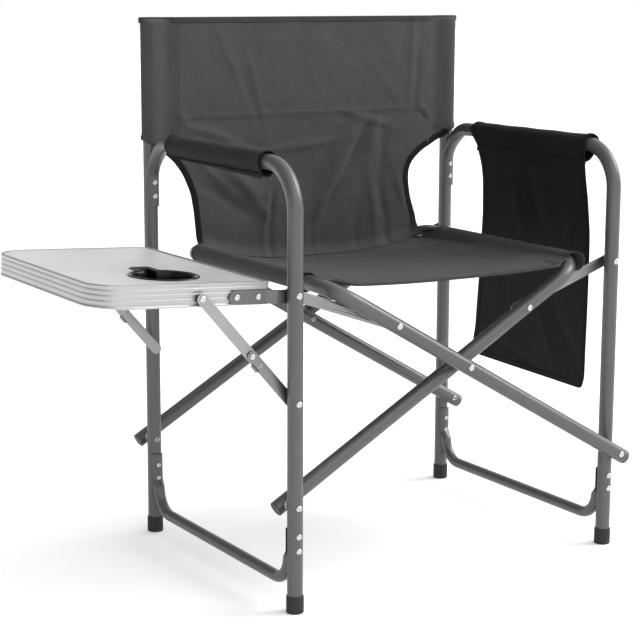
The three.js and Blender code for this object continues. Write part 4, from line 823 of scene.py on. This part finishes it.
# hem round the lower end of each post sleeve, and the vertical seams
for sd, nm in ((-1, "left"), (1, "right")):
    P = G[i0, :nw + 13] if sd < 0 else G[i0, -(nw + 13):]
    Dn = np.tile([0, 0, 1.0], (len(P), 1)); t = np.gradient(P, axis=0); nn = np.cross(t, Dn); nn /= np.linalg.norm(nn, axis=1)[:, None]
    binding("back_sleeve_hem_" + nm, P, Dn, nn, 6.5, 1.15, "canvas", body="back_" + nm, slot="canvas")
    zz2 = np.linspace(797, 632, 90); lines = []
    for xs_ in (SEAM, SEAM - 5.5):
        x_ = np.full_like(zz2, sd * xs_); lines.append((np.c_[x_, back_front(x_, zz2), zz2], np.tile([0, -1.0, 0], (len(zz2), 1))))
    stitches("back_sleeve_stitch_" + nm, lines, "thread_dark", lift=0.75, body="back_" + nm, slot="canvas")
lines = []
for z in (661, 649):
    x_ = np.linspace(-237, 237, 220); lines.append((np.c_[x_, back_front(x_, np.full_like(x_, z)), np.full_like(x_, z)], np.tile([0, -1.0, 0], (220, 1))))
stitches("back_band_stitch", lines, "thread_dark", lift=0.75, blend=BB, slot="canvas")
# rolled hem along the top, round both sleeves; its darker hem canvas is painted shade of the roll
P = G[0].copy(); t = np.gradient(P, axis=0); t /= np.linalg.norm(t, axis=1)[:, None]; D = np.tile([0, 0, -1.0], (len(P), 1)); nn = np.cross(t, D)
prof_w = 8.5
binding("back_top_hem", P + np.array([0, 0, 0.6]), D, nn, prof_w, 1.7, "hem", blend=BB, slot="canvas")
stitches("back_top_stitch", [(P[nw + 4:-nw - 4] + D[nw + 4:-nw - 4] * 6.6, np.tile([0, -1.0, 0], (nc - 2 * nw - 8, 1)))], "thread_dark", lift=1.75, blend=BB, slot="canvas")
# the top band is double: its rear layer runs down to the double seam
xg = np.linspace(-SEAM - 1, SEAM + 1, 130); zg = np.linspace(803, 643, 34)
G2 = np.array([np.c_[xg, back_front(xg, np.full_like(xg, z), back_wrinkles(xg, np.full_like(xg, z)) * 0.5) + 3.0 + 1.4 * math.sin((803 - z) / 160 * math.pi), np.full_like(xg, z)] for z in zg])
cloth("back_band_rear", G2, 1.0, "canvas", blend=BB, slot="canvas")

# ------------------------------------------------------------------ seat: one sling that goes round both rails
SR_ = 12.6
def seat_cols():
    """(kind, |x| or angle, side) for each column: underlay, round the rail, panel."""
    c = []
    for q in np.linspace(0, 1, 7)[:-1]: c.append(("u", q, -1))
    for a in np.linspace(205, -66, 38): c.append(("r", a, -1))
    for x in np.r_[np.linspace(-211, -150, 24), np.linspace(-147, 147, 92), np.linspace(150, 211, 24)]: c.append(("p", x, 0))
    for a in np.linspace(-66, 205, 38): c.append(("r", a, 1))
    for q in np.linspace(0, 1, 7)[:-1][::-1]: c.append(("u", q, 1))
    return c
SC = seat_cols()
def smooth(t): t = np.clip(t, 0, 1); return t * t * (3 - 2 * t)
def y_front(kind, v, sd):
    if kind == "p":
        if v > 0: return -229 + 41 * smooth((v - 158) / 62) ** 1.0
        return -229 + 60 * smooth((-v - 186) / 26)
    if sd > 0: return -188 - 11 * smooth((v if kind == "r" else 205) / 40) if (kind == "u" or v > 0) else -188
    return -166 + 5 * smooth((v if kind == "r" else 205) / 60)
def y_rear(kind, v, sd):
    if kind == "p":
        a = abs(v); e = yplane(v) + 5
        return e + (192 - e) * smooth((a - 203) / 8)
    b_ = 152 if sd > 0 else 160
    return b_ if kind == "u" else b_ + (192 - b_) * smooth((-28 - v) / 38)
qs = np.r_[np.linspace(0, 0.05, 6), np.linspace(0.06, 0.94, 78), np.linspace(0.95, 1, 6)]
rowsS = []
for q in qs:
    row = []
    for kind, v, sd in SC:
        y = y_front(kind, v, sd) + q * (y_rear(kind, v, sd) - y_front(kind, v, sd))
        row.append((kind, v, sd, y))
    ys = np.array([r[3] for r in row]); kinds = [r[0] for r in row]
    pm = np.array([k == "p" for k in kinds]); vx = np.array([r[1] if r[0] == "p" else 0.0 for r in row])
    zz_ = np.zeros(len(row)); zz_[pm] = seat_panel_z(vx[pm], ys[pm]); pts = np.zeros((len(row), 3)); pts[:, 1] = ys
    pts[pm, 0] = vx[pm]; pts[pm, 2] = zz_[pm]
    for i, (kind, v, sd, y) in enumerate(row):
        fl = 1.0 + 0.10 * (gauss(y - (-166 if sd < 0 else -207), 12) + gauss(y - (160 if sd < 0 else 152), 9))
        if kind == "r":
            a = math.radians(v); pts[i, 0] = sd * (RAIL_X + SR_ * fl * math.sin(a)); pts[i, 2] = RAIL_Z + SR_ * fl * math.cos(a)
        elif kind == "u":
            a = math.radians(205); ex, ez = RAIL_X + SR_ * math.sin(a), RAIL_Z + SR_ * math.cos(a); tx, tz = 205.0, float(seat_panel_z(sd * 205.0, y, False)) - 2.4
            qq = 1 - v; pts[i, 0] = sd * (ex + (tx - ex) * qq); pts[i, 2] = ez + (tz - ez) * qq - 2.0 * math.sin(math.pi * v)
    # valley beside each rail: ease the panel's edge down to the rail's inner side
    for i in np.where(pm)[0]:
        a = abs(pts[i, 0])
        if a > 196:
            k = smooth((a - 196) / 16); zc = RAIL_Z + SR_ * math.cos(math.radians(-66)) - 0.6; pts[i, 2] = pts[i, 2] * (1 - k) + min(pts[i, 2], zc) * k
    rowsS.append(pts)
GS = np.array(rowsS); nrs, ncs = GS.shape[:2]
US = np.zeros((nrs, ncs, 2)); US[:, :, 0] = np.r_[0, np.cumsum(np.linalg.norm(np.diff(GS[40], axis=0), axis=1))][None]; US[:, :, 1] = GS[:, :, 1] + 300
SBL = ("seat_left", "seat_right", tuple(W((-34, 0, 449))), tuple(W((34, 0, 449))))
cloth("seat_panel", GS, 1.3, "canvas", U=US, blend=SBL, repl=("seat_left", "seat_right"), slot="canvas")
SN = grid_normals(GS)
if SN[40, ncs // 2, 2] < 0: SN = -SN
pc = [i for i, c in enumerate(SC) if c[0] == "p"]; p0, p1 = pc[0], pc[-1] + 1
P = GS[0, p0:p1]; t = np.gradient(P, axis=0); t /= np.linalg.norm(t, axis=1)[:, None]; D = GS[8, p0:p1] - P; D -= (D * t).sum(1)[:, None] * t; D /= np.linalg.norm(D, axis=1)[:, None]
nf_ = SN[3, p0:p1]; nf_ = nf_ - (nf_ * D).sum(1)[:, None] * D; nf_ /= np.linalg.norm(nf_, axis=1)[:, None]
# front hem in the darker hem canvas: painted shade of the roll
binding("seat_front_hem", P, D, nf_, 10, 1.5, "hem", blend=SBL, slot="canvas")
stitches("seat_front_stitch", [(P + D * 12.0, nf_)], "thread_dark", lift=0.8, blend=SBL, slot="canvas")
for sd, nm in ((-1, "left"), (1, "right")):
    rc = [i for i, c in enumerate(SC) if c[0] == "r" and c[2] == sd]
    for e, dd, tag in ((0, 1.0, "front"), (-1, -1.0, "rear")):
        P = GS[e, rc[0]:rc[-1] + 1]; t = np.gradient(P, axis=0); t /= np.linalg.norm(t, axis=1)[:, None]; D = GS[5 if e == 0 else -6, rc[0]:rc[-1] + 1] - P; D -= (D * t).sum(1)[:, None] * t; D /= np.linalg.norm(D, axis=1)[:, None]; nn = np.cross(t, D)
        # sleeve hems in the darker hem canvas: painted shade of the roll
        binding(f"seat_sleeve_hem_{tag}_{nm}", P, D, nn, 6.5, 1.2, "hem", body="seat_" + nm, slot="canvas")
    # double row beside the rail
    lines = []
    for xo in (204.5, 199.5):
        yy = np.linspace(-160 if sd < 0 else -178, 146, 120); xx = np.full_like(yy, sd * xo); z_ = seat_panel_z(xx, yy); k = smooth((xo - 196) / 16); z_ = z_ * (1 - k) + np.minimum(z_, RAIL_Z + SR_ * math.cos(math.radians(66)) - 0.6) * k
        lines.append((np.c_[xx, yy, z_], np.tile([0, 0, 1.0], (120, 1))))
    stitches("seat_sleeve_stitch_" + nm, lines, "thread_dark", lift=0.8, body="seat_" + nm, slot="canvas")
# rear corners of the seat
for sl, nm in ((slice(p0, p0 + 16), "left"), (slice(p1 - 16, p1), "right")):
    P = GS[-1, sl]; D = GS[-7, sl] - P; t = np.gradient(P, axis=0); t /= np.linalg.norm(t, axis=1)[:, None]; D -= (D * t).sum(1)[:, None] * t; D /= np.linalg.norm(D, axis=1)[:, None]
    n_ = SN[-4, sl]; n_ = n_ - (n_ * D).sum(1)[:, None] * D; n_ /= np.linalg.norm(n_, axis=1)[:, None]
    binding("seat_rear_binding_" + nm, P, D, n_, 7, 1.35, body="seat_" + nm, slot="canvas")

# ------------------------------------------------------------------ left arm sleeve
y_ = np.r_[np.linspace(-160, -152, 5), np.linspace(-149, 116, 60), np.linspace(118, 126, 5)]
secs = []
for y in y_:
    e = gauss(y + 160, 9) + gauss(y - 126, 9); q = (126 - y) / 286.0          # 0 at the back, 1 at the front
    R = 13.3 + 1.5 * e + 0.25 * noise.noise(Vector((y / 60, 3.1, 0.5)))
    dz = 1.2 + 4.6 * q ** 0.8                                                  # the underside hangs lower toward the front
    pts = []
    A = np.linspace(-150, 196, 52)
    for a in A:
        r_ = math.radians(a); rr = R + 0.25 * noise.noise(Vector((a / 30, y / 45, 1.7)))
        low = max(0.0, -math.cos(r_)) ** 2
        pts.append((-HW + rr * math.sin(r_) * (1 - 0.10 * low), y, ARM_Z + rr * math.cos(r_) - low * dz))
    # the outer edge laps over the inner one and stands off it
    ex, ez = pts[0][0], pts[0][2]
    cr = max(0.12, math.sqrt(max(0.0, 1 - (max(0.0, -148 - y) / 12.0) ** 2)))
    lap = [(ex - 0.55 * (1 - k), y, ez - (1.8 + dz * 0.7) * cr * (1 - k)) for k in np.linspace(0, 1, 7)[:-1]]
    secs.append(lap + pts)
S = np.array(secs)
cloth("arm_sleeve_left", S, 1.4, "sleeve", body="left_side", repl="left_arm_sleeve", slot="arm_fabric")
# near-black strip along the sleeve's lower lip, widening toward the front: painted shadow of the dark gap inside the
# lap
lip = []
for i, y in enumerate(y_):
    q = (126 - y) / 286.0; w_ = 0.9 + 5.2 * q ** 1.3; p0_ = S[i, 0]; d_ = S[i, 9] - p0_; d_ = d_ / np.linalg.norm(d_); out_ = np.cross(d_, [0, 1, 0]); out_ = out_ * (1 if out_[0] < 0 else -1)
    lip.append([p0_ + d_ * w_ * k + out_ * 1.25 for k in np.linspace(-0.12, 1, 6)])
cloth("arm_sleeve_left_lip_painted_shadow", np.array(lip), 1.0, "bind", body="left_side", slot="arm_fabric")
for e, dd, tag in ((0, 1.0, "front"), (-1, -1.0, "rear")):
    P = S[e]; t = np.gradient(P, axis=0); t /= np.linalg.norm(t, axis=1)[:, None]; D = np.tile([0, dd, 0], (len(P), 1)); nn = np.cross(t, D)
    binding(f"arm_sleeve_left_hem_{tag}", P, D, nn, 2.4, 1.15, "bind", body="left_side", slot="arm_fabric")

# ------------------------------------------------------------------ right arm sleeve and organiser: one sheet over the arm, hanging down inside
ya = interp([(237, -151), (245, -152), (300, -154), (400, -156), (469, -156), (530, -153), (593, -149), (604, -150), (640, -154)])
yb_ = interp([(237, 132), (246, 136), (300, 133), (380, 126), (454, 121), (510, 117.5), (547, 116), (580, 122), (604, 132), (613, 140), (640, 136)])
XP = HW - 12.0
def pan_x(y, z):
    w = (fold(y, z, -20, 520, 70, 14, 50, 2.2) + fold(y, z, 20, 500, 76, 12, 50, -2.0) + fold(y, z, -90, 330, 55, 14, 60, 2.4) + fold(y, z, -60, 300, 60, 10, 50, -1.8)
         + fold(y, z, 0, 575, 4, 8, 110, -1.2) + fold(y, z, 60, 420, 85, 14, 70, 1.6) + fold(y, z, -110, 450, 92, 12, 60, -1.4) + fold(y, z, 10, 260, 10, 8, 90, 1.6))
    return XP + 9.5 * np.clip((604 - z) / 120, 0, 1) ** 0.8 + w * np.clip((604 - z) / 30, 0, 1)
rowsP = []
vv = np.linspace(0, 1, 90)
R = 13.4
for a in np.r_[np.linspace(-150, 90, 40)]:
    # loop: starts under the arm at the inside (sewn to the panel), goes over the outside, top, and comes down inside
    r_ = math.radians(180 + 0) ; ang = math.radians(a + 0)
    y = ya(619) + (yb_(619) - ya(619)) * vv; e = 1.2 * (gauss(y + 154, 12) + gauss(y - 136, 12)); RR = R + e + 0.3 * np.sin(y * 0.08)
    # a=-150 outer underside ... 0 top ... 90 inside
    rowsP.append(np.c_[HW - RR * np.sin(ang) , y, ARM_Z + RR * np.cos(ang)])
rowsP = rowsP  # from outer underside over the top to the inside level of the axis
for z in np.r_[np.linspace(616, 560, 24), np.linspace(556, 252, 80), np.linspace(249, 240, 6)]:
    y = ya(z) + (yb_(z) - ya(z)) * vv
    kz = np.clip((619 - z) / 20, 0, 1); x = (HW - R) * (1 - kz) + pan_x(y, z) * kz
    # lower corners round off, bottom edge drops a little toward the front
    zb2 = z - (252 - z > 0) * 0 - 4.5 * np.clip((300 - z) / 60, 0, 1) * (1 - vv) + 4.0 * np.clip((300 - z) / 60, 0, 1) * vv * 0.6
    cor = 12.0; d0, d1 = (y - y[0]), (y[-1] - y); t_ = np.clip((262 - z) / 22, 0, 1)
    lift_ = t_ * (np.where(d0 < cor, cor - np.sqrt(np.clip(cor**2 - (cor - d0) ** 2, 0, None)), 0) + np.where(d1 < cor, cor - np.sqrt(np.clip(cor**2 - (cor - d1) ** 2, 0, None)), 0))
    rowsP.append(np.c_[x, y, zb2 + lift_])
GP = np.array(rowsP)
org = cloth("organiser_sheet", GP, 1.5, "black", body="right_side", repl=("organiser_panel", "right_arm_sleeve"), slot="organiser_fabric")
PN = grid_normals(GP)
if PN[80, 45, 0] > 0: PN = -PN                # toward the sitter
# outer underside of the loop comes back to the panel and is sewn to it
under = []
for q in np.linspace(0, 1, 14):
    y = ya(619) + (yb_(619) - ya(619)) * vv; a0 = GP[0]; x1 = pan_x(y, np.full_like(y, 592.0)) + 1.6
    y2 = ya(592) + (yb_(592) - ya(592)) * vv
    under.append(np.c_[a0[:, 0] * (1 - q) + x1 * q, a0[:, 1] * (1 - q) + y2 * q, a0[:, 2] * (1 - q) + 592 * q - 3.5 * math.sin(math.pi * q)])
cloth("organiser_loop_under", np.array(under), 1.3, "black", body="right_side", slot="organiser_fabric")
# bindings: front, bottom, rear edges of the panel
js = 44
edge_lists = [(GP[js:-2, 0], (GP[:, 4] - GP[:, 0])[js:-2], PN[js:-2, 0], "front"), (GP[js:-2, -1], (GP[:, -5] - GP[:, -1])[js:-2], PN[js:-2, -1], "rear"), (GP[-1, 1:-1], (GP[-6] - GP[-1])[1:-1], PN[-1, 1:-1], "bottom")]
for P, D, nn, tag in edge_lists:
    t = np.gradient(P, axis=0); t /= np.linalg.norm(t, axis=1)[:, None]; D = D - (D * t).sum(1)[:, None] * t; D /= np.linalg.norm(D, axis=1)[:, None]
    binding("organiser_binding_" + tag, P, D, nn, 9, 1.5, body="right_side", slot="organiser_fabric")
    stitches("organiser_stitch_" + tag, [(P + D * 7.2, nn), (P + D * 7.2, -nn)], "thread", lift=1.4, body="right_side", slot="organiser_fabric")
# the seam that closes the loop, and hems at the loop's two ends
yl_ = ya(593.5) + (yb_(593.5) - ya(593.5)) * vv; xl_ = pan_x(yl_, np.full_like(yl_, 593.5))
binding("organiser_loop_hem_low", np.c_[xl_, yl_, np.full_like(yl_, 587.5)], np.tile([0, 0, 1.0], (len(vv), 1)), np.tile([-1.0, 0, 0], (len(vv), 1)), 7, 2.1, "black", body="right_side", slot="organiser_fabric")
z_ = 592.0; y = ya(z_) + (yb_(z_) - ya(z_)) * vv; x = pan_x(y, np.full_like(y, z_))
stitches("organiser_loop_stitch", [(np.c_[x, y, np.full_like(y, z_)], np.tile([-1.0, 0, 0], (90, 1))), (np.c_[x, y, np.full_like(y, z_ + 4)], np.tile([-1.0, 0, 0], (90, 1)))], "thread", lift=1.0, body="right_side", slot="organiser_fabric")
for col, dd, tag in ((0, 1.0, "front"), (-1, -1.0, "rear")):
    P = GP[:46, col]; t = np.gradient(P, axis=0); t /= np.linalg.norm(t, axis=1)[:, None]; D = np.tile([0, dd, 0], (len(P), 1)); nn = np.cross(t, D)
    binding("organiser_loop_hem_" + tag, P, D, nn, 7, 1.4, body="right_side", slot="organiser_fabric")
# pockets on the outer face, each a bellied sheet sewn on three sides with a bound top edge
def pocket(nm, y0, y1, z0, z1, d, div=()):
    nyy, nz = 70, 40; yy = np.linspace(y0, y1, nyy); zz = np.linspace(z1, z0, nz); Gk = []
    for z in zz:
        q = (z - z0) / (z1 - z0); e = np.minimum((yy - y0), (y1 - yy)); side = np.clip(e / 16, 0, 1) ** 0.6; bot = np.clip(q * 6, 0, 1) ** 0.6
        for dv in div: side = side * (1 - 0.85 * gauss(yy - dv, 7))
        out = 1.8 + (d - 1.8) * side * bot * (0.72 + 0.28 * q)
        Gk.append(np.c_[pan_x(yy, np.full_like(yy, z)) + out + 0.5 * np.sin(yy * 0.11 + z * 0.02) * side, yy, np.full_like(yy, z)])
    Gk = np.array(Gk); cloth("pocket_" + nm, Gk, 1.2, "black", body="right_side", slot="organiser_fabric")
    P = Gk[0]; D = np.tile([0, 0, -1.0], (len(P), 1)); t = np.gradient(P, axis=0); t /= np.linalg.norm(t, axis=1)[:, None]; nn = np.cross(t, D)
    binding("pocket_binding_" + nm, P, D, nn, 8, 1.35, body="right_side", slot="organiser_fabric")
    L = []
    for dv in list(div):
        P = np.c_[pan_x(np.full(40, dv), zz) + 3.0, np.full(40, dv), zz]; L.append((P, np.tile([1.0, 0, 0], (40, 1))))
    for cidx in (1, -2): L.append((Gk[:, cidx], np.tile([1.0, 0, 0], (nz, 1))))
    L.append((Gk[-2], np.tile([1.0, 0, 0], (nyy, 1))))
    stitches("pocket_stitch_" + nm, L, "thread", lift=1.0, body="right_side", slot="organiser_fabric")
pocket("low", -148, 118, 250, 415, 16, (-20,)); pocket("high", -60, 60, 440, 560, 12)

# ------------------------------------------------------------------ stage, light, camera
fm, nt, b = nodes_of("floor_white"); b.inputs["Base Color"].default_value = (0.94, 0.94, 0.94, 1); b.inputs["Roughness"].default_value = 0.9
b.inputs["Specular IOR Level"].default_value = 0.1
b.inputs["Emission Color"].default_value = (1, 1, 1, 1); b.inputs["Emission Strength"].default_value = 0.2
me = bpy.data.meshes.new("floor"); me.from_pydata([(-30, -30, 0), (30, -30, 0), (30, 30, 0), (-30, 30, 0)], [], [(0, 1, 2, 3)]); me.materials.append(fm)
fl = bpy.data.objects.new("floor", me); bpy.context.scene.collection.objects.link(fl)
w = bpy.data.worlds.new("studio"); bpy.context.scene.world = w; w.use_nodes = True
nt = w.node_tree; bgn = nt.nodes["Background"]; tc = N(nt, "ShaderNodeTexCoord"); sx = N(nt, "ShaderNodeSeparateXYZ"); nt.links.new(tc.outputs["Generated"], sx.inputs[0])
def wop(kind, a, bb=None, clamp=False):
    n = N(nt, "ShaderNodeMath", operation=kind, use_clamp=clamp)
    for i, v in enumerate((a, bb)):
        if v is None: continue
        if isinstance(v, (int, float)): n.inputs[i].default_value = v
        else: nt.links.new(v, n.inputs[i])
    return n.outputs[0]
X_, Y_, Z_ = sx.outputs["X"], sx.outputs["Y"], sx.outputs["Z"]
def lobe(dx, dy, dz, power, gain):
    l = math.sqrt(dx * dx + dy * dy + dz * dz)
    d = wop("ADD", wop("ADD", wop("MULTIPLY", X_, dx / l), wop("MULTIPLY", Y_, dy / l)), wop("MULTIPLY", Z_, dz / l))
    return wop("MULTIPLY", wop("POWER", wop("MAXIMUM", d, 0.0), power), gain)
sky = wop("ADD", wop("ADD", lobe(1.0, -0.05, 0.45, 2.0, 1.5), lobe(0.35, -0.9, 0.5, 3.0, 0.75)), wop("ADD", lobe(0.1, 0.1, 1.0, 2.0, 0.55), 0.16))
band = wop("SUBTRACT", 1.0, wop("MULTIPLY", wop("SUBTRACT", Z_, 0.16), 8.0, False), True)
back_ = wop("MULTIPLY", wop("SUBTRACT", wop("ADD", wop("MULTIPLY", X_, 0.515), wop("MULTIPLY", Y_, 0.857)), 0.80), 9.0, True)
hor = wop("ADD", wop("MULTIPLY", back_, 0.24), 0.76)
mixn = wop("ADD", wop("MULTIPLY", sky, wop("SUBTRACT", 1.0, band)), wop("MULTIPLY", band, wop("MAXIMUM", hor, wop("MINIMUM", sky, 1.0))))
bgn.inputs["Color"].default_value = (1, 1, 1, 1); nt.links.new(mixn, bgn.inputs["Strength"])
def sun(name, d, angle, power):
    l = bpy.data.lights.new(name, "SUN"); l.angle = math.radians(angle); l.energy = power
    o = bpy.data.objects.new(name, l); o.rotation_euler = (-Vector(d)).to_track_quat("-Z", "Y").to_euler(); bpy.context.scene.collection.objects.link(o)
sun("key", (0.95, -0.3, 0.72), 34, 1.85)
sun("fill", (-0.35, -1.0, 0.55), 60, 0.75)
sc = bpy.context.scene
sc.view_settings.view_transform = "Standard"; sc.view_settings.look = "None"; sc.view_settings.exposure = 0.0

cd = bpy.data.cameras.new("camera"); cam = bpy.data.objects.new("camera", cd); sc.collection.objects.link(cam); sc.camera = cam
cd.sensor_width = 36.0; cd.lens = 99.95
C = W((-1474.9, -2259.9, 850.9)); yaw, pitch, roll = math.radians(31.21), math.radians(10.576), math.radians(0.219)
fw = np.array([math.sin(yaw) * math.cos(pitch), math.cos(yaw) * math.cos(pitch), -math.sin(pitch)])
rt = np.cross(fw, [0, 0, 1]); rt /= np.linalg.norm(rt); up = np.cross(rt, fw); rt, up = rt * math.cos(roll) + up * math.sin(roll), up * math.cos(roll) - rt * math.sin(roll)
cam.location = C; cam.rotation_mode = "QUATERNION"; cam.rotation_quaternion = Matrix(((rt[0], up[0], -fw[0]), (rt[1], up[1], -fw[1]), (rt[2], up[2], -fw[2]))).to_quaternion()
cd.clip_start, cd.clip_end = 0.05, 60
